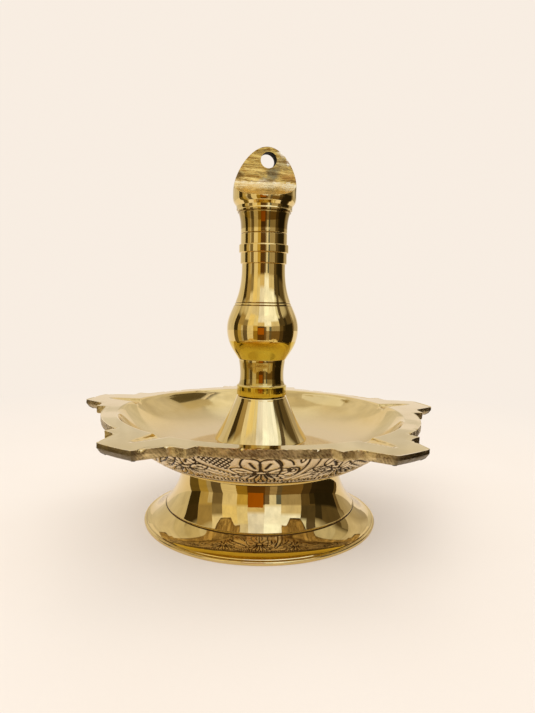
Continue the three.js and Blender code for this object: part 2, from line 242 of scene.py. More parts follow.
class Outline:
    """A path that is sampled as it grows. Each point also says how deep in a turned line it lies."""

    def __init__(self, radius, height, step=0.5):
        self.points = [np.array((radius, height), float)]
        self.recess = [0.0]
        self.step = step

    def follow(self, formula):
        """Adds points of formula(share) for shares up to 1, about one step apart."""
        rough = np.array([formula(share) for share in np.linspace(0, 1, 9)])
        length = np.linalg.norm(np.diff(rough, axis=0), axis=1).sum()
        count = max(1, ceil(length / self.step))
        for share in np.linspace(0, 1, count + 1)[1:]:
            self.points.append(np.array(formula(share), float))
            self.recess.append(0.0)
        return self

    def curve(self, *points, step=None):
        """A line to one point, or a curve to the last of several, drawn aside by those between."""
        self.step = step or self.step
        start = self.points[-1]
        return self.follow(lambda share: curve_at(share, start, *points))

    def line(self, radius, height, step=None):
        return self.curve((radius, height), step=step)

    def rising_arc(self, end, slope):
        """A round arc that leaves the last point at the given slope and bends upwards."""
        start, end = self.points[-1], np.array(end, float)
        across = end - start
        bend = 2 * (atan2(across[1], across[0]) - slope)
        radius = np.hypot(*across) / (2 * sin(bend / 2))

        def place(share):
            angle = slope + bend * share
            return start + radius * np.array((sin(angle) - sin(slope), cos(slope) - cos(angle)))

        return self.follow(place)

    def turn_line(self, height):
        """Turns a fine round-bottomed line into the rising part of the path."""
        points = np.array(self.points)
        heights = points[:, 1]
        half = turned_line_width / 2
        inside = np.abs(heights - height) < half
        first = int(np.argmax(heights > height))
        tangent = points[first] - points[first - 1]
        tangent /= np.linalg.norm(tangent)
        inward = np.array((-tangent[1], tangent[0]))
        share = (height - heights[first - 1]) / (heights[first] - heights[first - 1])
        centre = points[first - 1] + (points[first] - points[first - 1]) * share
        cut, marks = [], []
        for across in np.linspace(-1, 1, 9):
            fall = (1 - across * across) ** 2
            cut.append(centre + tangent * across * half + inward * turned_line_depth * fall)
            marks.append(fall**4)
        before = [i for i in range(first) if not inside[i]]
        after = [i for i in range(first, len(points)) if not inside[i]]
        recess = self.recess
        self.points = [points[i] for i in before] + cut + [points[i] for i in after]
        self.recess = [recess[i] for i in before] + marks + [recess[i] for i in after]

    def arrays(self):
        return np.array(self.points), np.array(self.recess)


# Meshes from rings of points

def quads(lower, upper):
    """Faces between rings of point numbers, each of which closes on itself."""
    corners = (lower, np.roll(lower, -1, -1), np.roll(upper, -1, -1), upper)
    return np.stack(corners, -1).reshape(-1, 4).tolist()


def ring_faces(rows, columns, closed=False):
    """Quads between neighbouring rings. Closed joins the last ring to the first."""
    index = np.arange(rows * columns).reshape(rows, columns)
    return quads(index, np.roll(index, -1, 0)) if closed else quads(index[:-1], index[1:])


def zip_rings(lower_angles, upper_angles, lower_first, upper_first):
    """Triangles between two rings that have different numbers of points, in order of angle."""
    count, other = len(lower_angles), len(upper_angles)
    start = int(np.argmin(np.abs((upper_angles - lower_angles[0] + pi) % (2 * pi) - pi)))
    lower = np.unwrap(np.append(lower_angles, lower_angles[0]))
    turned = np.roll(upper_angles, -start)
    upper = np.unwrap(np.append(turned, turned[0]))
    upper += lower[0] - upper[0] + (upper[0] - lower[0] + pi) % (2 * pi) - pi
    faces, i, j = [], 0, 0
    while i < count or j < other:
        here = lower_first + i % count
        there = upper_first + (start + j) % other
        move_lower = j == other or (i < count and lower[i + 1] <= upper[j + 1])
        if move_lower:
            i += 1
            faces.append([here, lower_first + i % count, there])
        else:
            j += 1
            faces.append([here, upper_first + (start + j) % other, there])
    return faces


def new_mesh(name, points, faces, materials):
    """Links a mesh with points in millimetres."""
    mesh = bpy.data.meshes.new(name)
    mesh.from_pydata((np.asarray(points) * MM).tolist(), [], faces)
    for material in materials:
        mesh.materials.append(material)
    mesh.update()
    thing = bpy.data.objects.new(name, mesh)
    bpy.context.scene.collection.objects.link(thing)
    return thing


def make_piece(name, points, faces, node, materials, recess=None, face_materials=None, crease=32):
    """Makes a smooth-shaded piece that stands for a CAD node. Points are in millimetres."""
    piece = new_mesh(name, points, faces, materials)
    mesh = piece.data
    if recess is not None:
        layer = mesh.attributes.new("recess", "FLOAT", "POINT")
        layer.data.foreach_set("value", np.asarray(recess, np.float32))
    if face_materials is not None:
        mesh.polygons.foreach_set("material_index", np.asarray(face_materials, np.int32))
    mesh.shade_smooth()
    mesh.set_sharp_from_angle(angle=radians(crease))
    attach(piece, "root")
    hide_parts(node)
    return piece


def make_turned(name, outline, columns, materials, inner_rows=0):
    """A hollow solid of revolution. Its first inner_rows rows take the second material."""
    path, recess = outline.arrays()
    rings = circle(path[:, :1], round_angles(columns), path[:, 1:])
    unevenness = turned_unevenness * np.abs(ripple(rings, 60, len(name)))
    rings[..., :2] *= (1 - unevenness / path[:, :1])[..., None]
    inner = np.repeat(np.arange(len(path)) < inner_rows, columns)
    make_piece(name + "_turned", rings.reshape(-1, 3), ring_faces(len(path), columns, True), name,
               materials, np.repeat(recess, columns), inner)


# Materials

def is_socket(value):
    return isinstance(value, bpy.types.NodeSocket)


def add_node(kind, inputs=None, tree=None, **settings):
    """Adds a shader node. Inputs are values or sockets, by the socket's name or number."""
    inputs = inputs or {}
    tree = tree or next(value.id_data for value in inputs.values() if is_socket(value))
    node = tree.nodes.new("ShaderNode" + kind)
    for key, value in settings.items():
        setattr(node, key, value)
    for key, value in inputs.items():
        if is_socket(value):
            tree.links.new(value, node.inputs[key])
        else:
            node.inputs[key].default_value = value
    return node


def new_material(name):
    """A material, and the place in metres in the row frame, which a piece keeps when it moves."""
    material = bpy.data.materials.new(name)
    material.use_nodes = True
    return material, add_node("TexCoord", tree=material.node_tree).outputs["Object"]


def noise(vector, scale, detail=3, roughness=0.5):
    inputs = {"Vector": vector, "Scale": scale, "Detail": detail, "Roughness": roughness}
    return add_node("TexNoise", inputs).outputs["Fac"]


def remap(value, low, high, to_low=0, to_high=1):
    inputs = {"Value": value, "From Min": low, "From Max": high, "To Min": to_low, "To Max": to_high}
    return add_node("MapRange", inputs).outputs["Result"]


def rgba(colour):
    return colour if is_socket(colour) else (*colour, 1.0)


def mix_colours(share, first, second):
    inputs = {0: share, 6: rgba(first), 7: rgba(second)}
    return add_node("Mix", inputs, data_type="RGBA").outputs[2]


def fade(value, low, high, first, second, most=1):
    """The first colour where the value is low, and the second, at most that much, where it is high."""
    return mix_colours(remap(value, low, high, 0, most), first, second)


def math_node(operation, first, second=0.0):
    return add_node("Math", {0: first, 1: second}, operation=operation).outputs[0]


def vector_math(operation, first, second=(0, 0, 0)):
    node = add_node("VectorMath", {0: first, 1: second}, operation=operation)
    return node.outputs["Value" if operation == "LENGTH" else "Vector"]


def split(vector):
    return add_node("SeparateXYZ", {0: vector}).outputs


def combine(x, y, z):
    return add_node("CombineXYZ", {0: x, 1: y, 2: z}).outputs[0]


def recess_of(here):
    """How deep in a cut or a turned line the surface lies, or how much painted shade it takes, 0 to 1."""
    return add_node("Attribute", tree=here.id_data, attribute_name="recess").outputs["Fac"]


def round_place(vector, spin):
    """Coordinates that are the same all round the axis: radius and height, with a share of the angle."""
    parts = split(vector)
    radius = vector_math("LENGTH", vector_math("MULTIPLY", vector, (1, 1, 0)))
    return combine(radius, parts["Z"], math_node("MULTIPLY", parts["X"], spin))


def stacked_bump(layers):
    """Bump from several height fields: (value, depth in millimetres) each."""
    normal = None
    for value, depth in layers:
        inputs = {"Height": value, "Strength": 1.0, "Distance": depth * MM}
        if normal:
            inputs["Normal"] = normal
        normal = add_node("Bump", inputs).outputs["Normal"]
    return normal


def surface(material, tint, rough, layers, metallic=1.0):
    """Gives the material its colour, its roughness and its bump, and returns it."""
    shader = material.node_tree.nodes["Principled BSDF"]
    shader.inputs["Metallic"].default_value = metallic
    linked = {"Base Color": tint, "Normal": stacked_bump(layers)}
    if is_socket(rough):
        linked["Roughness"] = rough
    else:
        shader.inputs["Roughness"].default_value = rough
    for key, value in linked.items():
        material.node_tree.links.new(value, shader.inputs[key])
    return material


def polished_brass(name, colour, roughness, ring_depth, wave_depth, stain=0.12, satin=None, deep=()):
    """Brass off the buffing wheel: bright, a little wavy, with turning rings and faint stains.

    satin is (low, high, extra roughness): the extra fades out between the two heights, and towards the
    lower one a paler brass is painted in as sheen.
    deep lists (low, high, colour) for the heights between which a deeper colour is painted in, as painted
    reflection of brass in brass.
    """
    material, here = new_material(name)
    rings = noise(round_place(here, 0.02), 2600, 2)
    waves = noise(here, 170, 2)
    hairs = noise(round_place(here, 0.4), 5200, 2, 0.7)
    clouds = noise(here, 55, 5, 0.6)
    recess = recess_of(here)
    dull = [c * f for c, f in zip(colour, dulled)]
    tint = fade(clouds, 0.42, 0.75, colour, dull, stain * 4)
    height = split(here)["Z"]
    # Painted reflection: a deeper colour where the metal mirrors brass
    for low, high, deeper in deep:
        rising = remap(height, low * MM, (low + 0.5) * MM)
        falling = remap(height, (high - 0.5) * MM, high * MM, 1, 0)
        tint = mix_colours(math_node("MULTIPLY", rising, falling), tint, deeper)
    # Cuts and turned lines take a dark colour: partly grime, partly painted shade
    tint = fade(recess, 0.15, 0.8, tint, line_dirt_and_shade)
    rough = math_node("ADD", remap(clouds, 0.3, 0.8, roughness * 0.8, roughness * 1.7),
                      remap(recess, 0, 1, 0, 0.35))
    # Painted sheen: a paler brass on the bowl's satin floor, besides the extra roughness
    if satin:
        low, high, extra = satin
        sheen_share = remap(height, (low - 2) * MM, (high - 3) * MM, 1, 0)
        tint = mix_colours(sheen_share, tint, sheen_brass)
        rough = math_node("ADD", rough, remap(height, low * MM, high * MM, extra, 0))
    bumps = [(waves, wave_depth), (rings, ring_depth), (hairs, ring_depth * 0.5)]
    return surface(material, tint, rough, bumps)


def cast_edge_brass(name):
    """Rough cast edge: brown skin, slanting file marks, and bright brass where it has rubbed through."""
    material, here = new_material(name)
    x, y, z = split(here)
    lean = math_node("MULTIPLY", z, 0.7)
    slanting = combine(math_node("ADD", x, lean), math_node("ADD", y, lean),
                       math_node("MULTIPLY", z, 0.12))
    grain = noise(here, 900, 6, 0.65)
    patches = noise(here, 150, 4, 0.6)
    files = noise(slanting, 1500, 3, 0.65)
    skin = fade(files, 0.4, 0.62, (0.23, 0.155, 0.07), (0.60, 0.46, 0.22))
    rubbed = fade(patches, 0.48, 0.62, skin, (0.86, 0.68, 0.34), 0.85)
    # Darker as the recess attribute says: painted shade in the corner under the plate, and the darker spout
    # tips
    tint = mix_colours(recess_of(here), rubbed, (0.15, 0.11, 0.055))
    return surface(material, tint, remap(grain, 0.3, 0.75, 0.44, 0.26), [(grain, 0.16), (files, 0.14)])


def engraved_brass(name):
    """Matt, slightly pink brass with dark engraved lines."""
    material, here = new_material(name)
    grain = noise(here, 2200, 4, 0.6)
    clouds = noise(here, 120, 4, 0.6)
    plain = fade(clouds, 0.35, 0.7, (0.89, 0.73, 0.49), (0.76, 0.59, 0.34))
    tint = fade(recess_of(here), 0.05, 0.42, plain, (0.055, 0.03, 0.01))
    return surface(material, tint, remap(grain, 0.3, 0.7, 0.24, 0.4), [(grain, 0.02)])


def spot(vector, centre, reach, share):
    """A soft patch with a ragged edge, round a centre in millimetres."""
    ragged = noise(vector, 380, 3, 0.6)
    offset = vector_math("ADD", vector, [-c * MM for c in centre])
    away = vector_math("LENGTH", vector_math("MULTIPLY", offset, [1 / (r * MM) for r in reach]))
    uneven = math_node("ADD", away, remap(ragged, 0.3, 0.7, -0.35, 0.35))
    return remap(uneven, 0.45, 1.1, share, 0)


# Stains, and painted highlights, on the tab: centre, reach, colour and strength
tab_stains_and_highlights = (
    ((3.2, 0, 146.5), (3.4, 30, 3.2), (0.23, 0.19, 0.09), 0.85),
    ((1.0, 0, 143.8), (3.4, 30, 1.5), (0.27, 0.22, 0.10), 0.7),
    ((9.6, 0, 145.0), (4.4, 30, 1.7), (0.54, 0.28, 0.06), 0.85),
    ((-10.8, 0, 145.6), (2.4, 30, 1.9), (0.15, 0.09, 0.03), 0.85),
    ((7.0, 0, 150.6), (2.8, 30, 2.8), (0.42, 0.33, 0.15), 0.6),
    # Painted highlights: the bright band along the ramp, its glint at the right, and glints on the upper
    # right edge
    ((-1.0, 0, 141.2), (18, 60, 2.3), (1.00, 0.84, 0.50), 1.0),
    ((10.4, 0, 140.4), (4.0, 60, 2.4), (1.00, 0.93, 0.68), 1.0),
    ((7.0, 0, 154.6), (2.0, 30, 1.7), (0.98, 0.88, 0.64), 0.9),
    ((9.6, 0, 152.0), (1.3, 30, 2.6), (0.98, 0.88, 0.64), 0.9),
)


def filed_brass(name):
    """Brass as the file left it: long shallow scratches across the tab."""
    material, here = new_material(name)
    turned = add_node("Mapping", {"Vector": here, "Rotation": (0, radians(-4), 0)})
    long_way = vector_math("MULTIPLY", turned.outputs[0], (0.06, 0.3, 1))
    strokes = noise(long_way, 2100, 4, 0.65)
    fine = noise(long_way, 5200, 3, 0.6)
    clouds = noise(long_way, 420)
    levels = noise(long_way, 760, 3, 0.6)
    from_level = math_node("ABSOLUTE", math_node("SUBTRACT", levels, 0.5))
    scratches = remap(from_level, 0, 0.03, 1, 0)
    tint = fade(clouds, 0.35, 0.68, (0.84, 0.58, 0.16), (0.62, 0.41, 0.09))
    tint = mix_colours(remap(strokes, 0.33, 0.41, 0.6, 0), tint, (0.40, 0.27, 0.09))
    tint = mix_colours(math_node("MULTIPLY", scratches, 0.8), tint, (0.24, 0.15, 0.045))
    # Stains and painted highlights laid over the filed colour
    for centre, reach, colour, share in tab_stains_and_highlights:
        tint = mix_colours(spot(here, centre, reach, share), tint, colour)
    smooth = math_node("SUBTRACT", 1, scratches)
    bumps = [(strokes, 0.10), (fine, 0.03), (smooth, 0.04)]
    return surface(material, tint, remap(strokes, 0.3, 0.7, 0.18, 0.36), bumps)


def plated_steel(name):
    """Zinc-plated steel with a faint spangle."""
    material, here = new_material(name)
    spangle = noise(here, 700)
    tint = mix_colours(spangle, (0.58, 0.59, 0.62), (0.42, 0.43, 0.45))
    return surface(material, tint, remap(spangle, 0.3, 0.7, 0.25, 0.45), [(spangle, 0.01)])


# Painted reflections on the stem where it mirrors brass: deeper yellow on the collar, neck and underside of
# the bulb, darker brown on the flare of the knob
painted_reflection_zones = (
    (53.2, 58.3, (0.62, 0.44, 0.05)),
    (58.1, 69.0, (0.54, 0.40, 0.13)),
    (69.2, 77.4, (0.70, 0.50, 0.05)),
    (123.5, 131.6, (0.46, 0.32, 0.10)),
)
# Paler brass painted on the bowl's satin floor as sheen, then the heights and extra roughness of that floor
sheen_brass = (0.73, 0.61, 0.39)
satin_and_sheen_floor = (33, 42, 0.2)
# Dark colour in cuts and turned lines: partly grime, partly painted shade
line_dirt_and_shade = (0.10, 0.055, 0.015)
dulled = (0.86, 0.8, 0.62)
turned_bright = polished_brass("turned_bright", (0.77, 0.60, 0.27), 0.05, 0.0012, 0.012)
stem_bright = polished_brass("stem_bright", (0.80, 0.61, 0.25), 0.038, 0.0014, 0.012, deep=painted_reflection_zones)
foot_bright = polished_brass("foot_bright", (0.73, 0.555, 0.235), 0.022, 0.0009, 0.009)
bowl_bright = polished_brass("bowl_bright", (0.78, 0.62, 0.31), 0.05, 0.0008, 0.014, 0.16, satin_and_sheen_floor)
turned_raw = polished_brass("turned_raw", (0.60, 0.45, 0.20), 0.26, 0.012, 0.03, 0.25)
cast_edge = cast_edge_brass("cast_edge")
engraved = engraved_brass("engraved")
filed = filed_brass("filed")
# Painted shade: a near-black brass for the wall of the hanging hole
hole_shade = polished_brass("hole_shade", (0.035, 0.028, 0.02), 0.6, 0.006, 0.02, 0.2)
stamped = polished_brass("stamped", (0.60, 0.46, 0.21), 0.28, 0.006, 0.02, 0.25)
# Painted reflection: a deep, saturated yellow on the bowl's underside, standing for brass mirrored in brass
under_painted_reflection = polished_brass("under_painted_reflection", (0.68, 0.53, 0.09), 0.05, 0.0010, 0.012)
zinc = plated_steel("zinc")


# Foot

def make_foot():
    inner_neck = foot_neck_radius - foot_wall
    web_underside = foot_top - foot_web
    edge_inner = foot_radius - foot_wall
    path = Outline(bore_radius, web_underside, 0.8)
    path.line(inner_neck - foot_wall, web_underside)
    path.curve((inner_neck, web_underside), (inner_neck, web_underside - foot_wall))
    path.curve(
        (inner_neck, web_underside - foot_flare_handle),
        (foot_line_radius - foot_flare_handle, foot_line_height),
        (foot_line_radius - foot_wall / 2, foot_line_height - foot_wall),
    )
    path.line(edge_inner, foot_bead)
    path.line(edge_inner, 0)
    inner_rows = len(path.points)
    path.line(foot_radius - foot_bead, 0)
    path.curve((foot_radius, 0), (foot_radius, foot_bead))
    path.line(foot_radius, foot_edge_height - foot_bead, step=0.25)
    path.curve((foot_radius, foot_edge_height - 0.05), (foot_radius - foot_bead, foot_edge_height))
    edge_line = len(path.points)
    path.curve((foot_brim_radius + 0.2, foot_brim_height - 0.45), (foot_brim_radius, foot_brim_height))
    path.curve(*foot_hollow, (foot_line_radius + 0.95, foot_line_height - 0.98), step=0.4)
    path.line(foot_line_radius + 0.3, foot_line_height - 0.3)
    line_start = len(path.points)
    path.curve((foot_line_radius - 0.15, foot_line_height - 0.3),
               (foot_line_radius - 0.05, foot_line_height + 0.2), step=0.12)
    line_end = len(path.points)
    path.line(foot_line_radius - 0.25, foot_line_height + 0.3)
    path.curve(*foot_neck_bow, (foot_neck_top, foot_top), step=0.5)
    path.line(bore_radius, foot_top, step=2)
    path.line(bore_radius, foot_top - foot_web + 0.2)
    path.recess[edge_line] = 0.5
    for index in range(line_start, line_end - 1):
        path.recess[index] = 1.0
    make_turned("foot", path, 256, [foot_bright, turned_raw], inner_rows)


# Bell

def make_bell():
    path = Outline(bore_radius, bell_base, 1.5)
    path.line(boss_radius, bell_base)
    path.curve((bell_radius - 0.3, bell_base), (bell_radius, bell_base + 0.5), step=0.2)
    path.line(bell_radius - 0.1, bell_base + 0.8)
    path.curve((collar_radius + bell_bow[0], bell_base + bell_bow[1]),
               (collar_radius + 0.2, bell_top - 0.8), step=0.5)
    path.curve((collar_radius + 0.1, bell_top - 0.1), (collar_radius - 0.5, bell_top), step=0.2)
    path.line(bore_radius, bell_top, step=1.5)
    path.line(bore_radius, bell_base + 0.4)
    make_turned("bell", path, 192, [turned_bright])


# Stem and hanging tab

def add_bulb(path):
    """Goes on from the bore's foot over the collar, the neck and the bulb to the waist."""
    collar_top = stem_base + collar_height
    path.line(collar_radius - collar_chamfer, stem_base)
    path.line(collar_radius, stem_base + collar_chamfer)
    path.line(collar_radius, collar_top - collar_chamfer)
    path.line(collar_radius - collar_chamfer, collar_top)
    path.curve((lower_neck[0], collar_top + collar_chamfer), lower_neck, step=0.45)
    path.curve(*lower_neck_bow, lower_neck_top)
    path.line(lower_neck_top[0] + 0.3, lower_neck_top[1] + 0.35)
    path.curve(bulb_foot_bow, (bulb[0], bulb[1] - bulb_lower_handle), bulb)
    path.curve((bulb[0], bulb[1] + bulb_upper_handle), (waist[0], waist[1] - waist_handle), waist)


def add_barrel(path):
    """Goes on from the waist over the barrel and its ring."""
    path.line(waist[0], barrel_start - 0.5)
    path.curve((barrel_radius, barrel_start - 0.45), (barrel_radius, barrel_start), step=0.15)
    path.line(barrel_radius, ring_start)
    path.curve((barrel_radius, ring_start + 0.15), (ring_radius - 0.2, ring_start + 0.2))
    path.curve((ring_radius, ring_start + 0.25), (ring_radius, ring_start + 0.6))
    path.line(ring_radius, ring_top - 0.5)
    path.curve((ring_radius, ring_top - 0.1), (ring_radius - 0.2, ring_top - 0.05))
    path.line(barrel_radius, ring_top + 0.1)
    path.line(barrel_radius, knob_flare_start, step=0.4)


def add_knob(path):
    """Goes on from the barrel over the knob to the crown of the domed end."""
    path.curve((barrel_radius, knob_flare_start + knob_flare_handle), knob_flare)
    path.step = 0.2
    for radius, height in knob_rings:
        path.line(radius - 0.12, path.points[-1][1] + 0.08)
        path.line(radius, height)
    path.line(knob_radius - 0.75, knob_band - 1.0)
    path.curve((knob_radius - 0.05, knob_band - 0.2), (knob_radius, knob_band + 1.6))
    path.line(knob_radius, knob_top, step=0.25)
    path.curve((knob_radius, knob_top + tab_shoulder_handle), (tab_crown_handle, stem_top), (0, stem_top))


def stem_outline():
    """Outline of the stem from the end of its bore to the crown of its domed end."""
    bore_end = bolt_high[2] + 0.3
    path = Outline(0, bore_end + 0.35, 1)
    path.line(bore_radius, bore_end)
    path.line(bore_radius, stem_base)
    path.step = 0.2
    add_bulb(path)
    add_barrel(path)
    add_knob(path)
    for height in stem_lines:
        path.turn_line(height)
    return path


def flat_distance(heights):
    """How far the filed faces are from the middle plane at each height."""
    ends = np.array(((tab_half_thickness, tab_flat_start), tab_ramp_control, tab_ramp_end))
    ramp = curve_at(np.linspace(0, 1, 200)[:, None], *ends)
    distance = np.interp(heights, ramp[::-1, 1], ramp[::-1, 0])
    return np.where(heights < ends[2, 1], 1e3, distance)


def stem_ring(radius, height):
    """Points round the stem at one height, cut off by the two filed faces."""
    side_columns, flat_columns = 70, 58
    widest_side = radians(68)
    limit = float(flat_distance(height))
    side = min(widest_side, asin(limit / radius)) if limit < radius else widest_side
    arc = circle(radius, np.linspace(-side, side, side_columns, endpoint=False), height)
    if side < widest_side:
        reach = radius * cos(side)
        x = np.linspace(reach, -reach, flat_columns, endpoint=False)
        front = np.stack(np.broadcast_arrays(x, limit, height), -1)
    else:
        front = circle(radius, np.linspace(side, pi - side, flat_columns, endpoint=False), height)
        front[:, 1] = np.minimum(front[:, 1], limit)
    half = np.vstack([arc, front])
    return np.vstack([half, half * (-1, -1, 1)])


def make_stem():
    path, recess = stem_outline().arrays()
    bore_end, path, recess = path[0], path[1:-1], recess[1:-1]
    rings = np.array([stem_ring(radius, height) for radius, height in path])
    columns = rings.shape[1]
    on_flat = np.abs(rings[..., 1]) >= flat_distance(rings[..., 2]) - 1e-6
    strokes = 0.07 * ripple(rings * (0.12, 1, 1), 2.2, 31) + 0.05 * ripple(rings * (0.3, 1, 1), 7, 32)
    worn = 0.12 * np.abs(ripple(rings, 4.5, 33))
    rings[..., 1] -= np.sign(rings[..., 1]) * np.where(on_flat, np.abs(strokes) + worn * 0.4, 0)
    rise = np.maximum(0, rings[..., 2] - knob_top) / (stem_top - knob_top)
    fuller = tab_right_fullness * np.sin(pi * np.clip(rise, 0, 1)) * (rings[..., 0] > 0)
    rings[..., 0] += tab_lean * rise + fuller * rings[..., 0] / knob_radius
    points = np.vstack([rings.reshape(-1, 3), (0, 0, bore_end[1]), (tab_lean, 0, stem_top)])

    def fan(tip, row):
        here = np.arange(columns) + row * columns
        return np.stack([np.full(columns, tip), np.roll(here, -1), here], -1)

    faces = ring_faces(len(rings), columns)
    flat_face = on_flat.reshape(-1)[np.array(faces)].all(1)
    faces += fan(len(points) - 2, 0).tolist()
    faces += fan(len(points) - 1, len(rings) - 1)[:, ::-1].tolist()
    materials = np.append(flat_face, np.zeros(2 * columns))
    marks = np.append(np.repeat(recess, columns), (0, 0))
    piece = make_piece("hanging_stem_turned", points, faces, "hanging_stem",
                       [stem_bright, filed], marks, materials, tab_crease)
    drill_hole(piece)


def drill_hole(piece):
    """Drills the skewed hanging hole, with its edges a little worn."""
    columns, reach, flare = 48, 3 * tab_half_thickness, 0.18
    half = np.array((tab_half_thickness - 0.5, tab_half_thickness + flare, reach))
    along = np.append(-half[::-1], half)
    radii = hang_hole_radius + np.array((2, 1, 0, 0, 1, 2)) * flare * 0.8
    rings = circle(radii[:, None], round_angles(columns), along[:, None])[..., [0, 2, 1]]
    turn = np.array(Matrix.Rotation(hang_hole_skew, 3, "Z"))
    points = rings.reshape(-1, 3) @ turn.T + (hang_hole_centre[0], 0, hang_hole_centre[1])
    faces = [face[::-1] for face in ring_faces(len(rings), columns)]
    faces.append(list(range(columns)))
    faces.append(list(range(len(points) - 1, len(points) - columns - 1, -1)))
    # The hole's wall takes the near-black material, painted shade inside the hole
    cutter = new_mesh("hole_cutter", points, faces, [hole_shade])
    cut = piece.modifiers.new("hanging_hole", "BOOLEAN")
    cut.operation, cut.solver, cut.object = "DIFFERENCE", "EXACT", cutter
    cut.material_mode = "TRANSFER"
    bpy.context.view_layer.update()
    drilled = bpy.data.meshes.new_from_object(piece.evaluated_get(bpy.context.evaluated_depsgraph_get()))
    piece.modifiers.clear()
    piece.data = drilled
    drilled.set_sharp_from_angle(angle=radians(tab_crease))
    bpy.data.objects.remove(cutter)


# Rim plan

def curve_points(count, *points):
    return curve_at(np.linspace(0, 1, count)[:, None], *points)


def half_spout():
    """Plan of the left half of one spout that points along +X, from its tip to its cusp."""
    tip_corner = (spout_reach - spout_tip_bow, spout_tip_half)
    cusp = (sqrt(lobe_radius**2 - spout_shoulder[1] ** 2), spout_shoulder[1])
    tip = curve_points(12, (spout_reach, 0), (spout_reach, spout_tip_half / 2), tip_corner)
    shoulder = curve_points(12, spout_neck, (spout_shoulder[0], spout_neck[1]), spout_shoulder)
    return np.vstack([tip, shoulder, cusp])


def turned_plan(points, angle):
    turn = np.array(Matrix.Rotation(radians(angle), 2))
    return points @ turn.T


def walk(path, lengths, places):
    """Points of a flat closed path at the given places along it."""
    closed = np.vstack([path, path[:1]])
    return np.stack([np.interp(places, lengths, closed[:, axis]) for axis in (0, 1)], -1)


def resample(path, spacing):
    """Closed path with points at even spacing."""
    lengths = lengths_along(np.vstack([path, path[:1]]))
    count = int(lengths[-1] / spacing)
    return walk(path, lengths, np.arange(count) * lengths[-1] / count)


def rim_plan():
    """Rim outline with hand-rounded corners, as rim_columns points, with outward normals."""
    half = half_spout()
    pitch = 360 / spout_count
    cusp_angle = degrees(atan2(half[-1][1], half[-1][0]))
    plan = []
    for index, trim in enumerate(lobe_trim):
        angle = first_spout + pitch * index
        plan.append(turned_plan(np.vstack([half[::-1] * (1, -1), half[1:]]), angle))
        sweep = np.radians(np.linspace(angle + cusp_angle, angle + pitch - cusp_angle, 60)[1:-1])
        radius = lobe_radius - trim * np.sin(np.linspace(0, pi, 60)[1:-1])
        plan.append(circle(radius, sweep, 0)[:, :2])
    spacing = 0.1
    fine = resample(np.vstack(plan), spacing)
    reach = int(4 * rim_corner_round / spacing)
    window = np.exp(-0.5 * (np.arange(-reach, reach + 1) * spacing / rim_corner_round) ** 2)
    window /= window.sum()
    padded = np.vstack([fine[-reach:], fine, fine[:reach]])
    smooth = np.stack([np.convolve(padded[:, axis], window, "valid") for axis in (0, 1)], -1)
    steps = np.linalg.norm(np.roll(smooth, -1, 0) - smooth, axis=1)
    angles = np.unwrap(np.arctan2(smooth[:, 1], smooth[:, 0]))
    turns = np.diff(np.append(angles, angles[0] + 2 * pi))
    weight = 0.7 * steps / steps.sum() + 0.3 * turns / turns.sum()
    columns = walk(smooth, np.append(0, np.cumsum(weight)), np.arange(rim_columns) / rim_columns)
    tangent = np.roll(columns, -1, 0) - np.roll(columns, 1, 0)
    tangent /= np.linalg.norm(tangent, axis=1)[:, None]
    return columns, np.stack([tangent[:, 1], -tangent[:, 0]], -1)


def spout_place(places):
    """Distance along and across the axis of the nearest spout."""
    x, y = places[:, 0], places[:, 1]
    pitch = 360 / spout_count
    off = np.radians((np.degrees(np.arctan2(y, x)) - first_spout + pitch / 2) % pitch - pitch / 2)
    radius = np.hypot(x, y)
    return radius * np.cos(off), radius * np.sin(off)


def groove_half(share):
    """Half width of a wick groove at a share of its length."""
    return groove_mouth_half + (groove_end_half - groove_mouth_half) * share


def groove_depth(places):
    """Depth of the wick grooves below the rim's face."""
    along, across = spout_place(places)
    share = (along - mouth_radius) / groove_length
    depth = groove_mouth_depth + (groove_end_depth - groove_mouth_depth) * share
    round_end = np.sqrt(np.clip((groove_length - (along - mouth_radius)) / 1.6, 0, 1))
    within = np.clip(1 - (np.abs(across) / np.maximum(groove_half(share), 0.1)) ** 3.5, 0, 1)
    return np.where(along > mouth_radius - groove_lead, depth * within * round_end, 0)


def groove_shade(places):
    """Painted shade at the foot of the grooves' walls and at their outer ends, ragged, 0 to 1."""
    along, across = spout_place(places)
    half = groove_half(np.clip((along - mouth_radius) / groove_length, 0, 1))
    wall = np.exp(-(((np.abs(across) - 0.9 * half) / 0.35) ** 2))
    end = np.exp(-(((along - mouth_radius - 0.96 * groove_length) / 0.5) ** 2)) * (np.abs(across) < half)
    reach = (along > mouth_radius - 1.5) & (along < mouth_radius + groove_length + 0.5)
    ragged = np.clip(0.6 + 0.5 * ripple(places, 3.5, 21), 0, 1)
    return 0.45 * np.maximum(wall, end) * reach * ragged


def plate_thickness(places):
    """Thickness of the rim plate, which is greater at the spouts."""
    along, across = spout_place(places)
    share = 1 - smooth_step(np.abs(across) / along * spout_neck[0], 9.8, 12.6)
    return rim_thickness + (spout_thickness - rim_thickness) * share


# Engraving under the bowl; places are sideways and down from the band's top, in millimetres

def smooth_curve(*knots, count=14):
    """A smooth line through the knots."""
    knots = np.array(knots, float)
    padded = np.vstack([2 * knots[0] - knots[1], knots, 2 * knots[-1] - knots[-2]])
    pieces = []
    shares = np.linspace(0, 1, count)[:, None]
    for a, b, c, d in zip(padded, padded[1:], padded[2:], padded[3:]):
        pieces.append(
            0.5 * (2 * b + (c - a) * shares + (2 * a - 5 * b + 4 * c - d) * shares**2
                   + (3 * b - a - 3 * c + d) * shares**3)
        )
    return np.vstack(pieces)


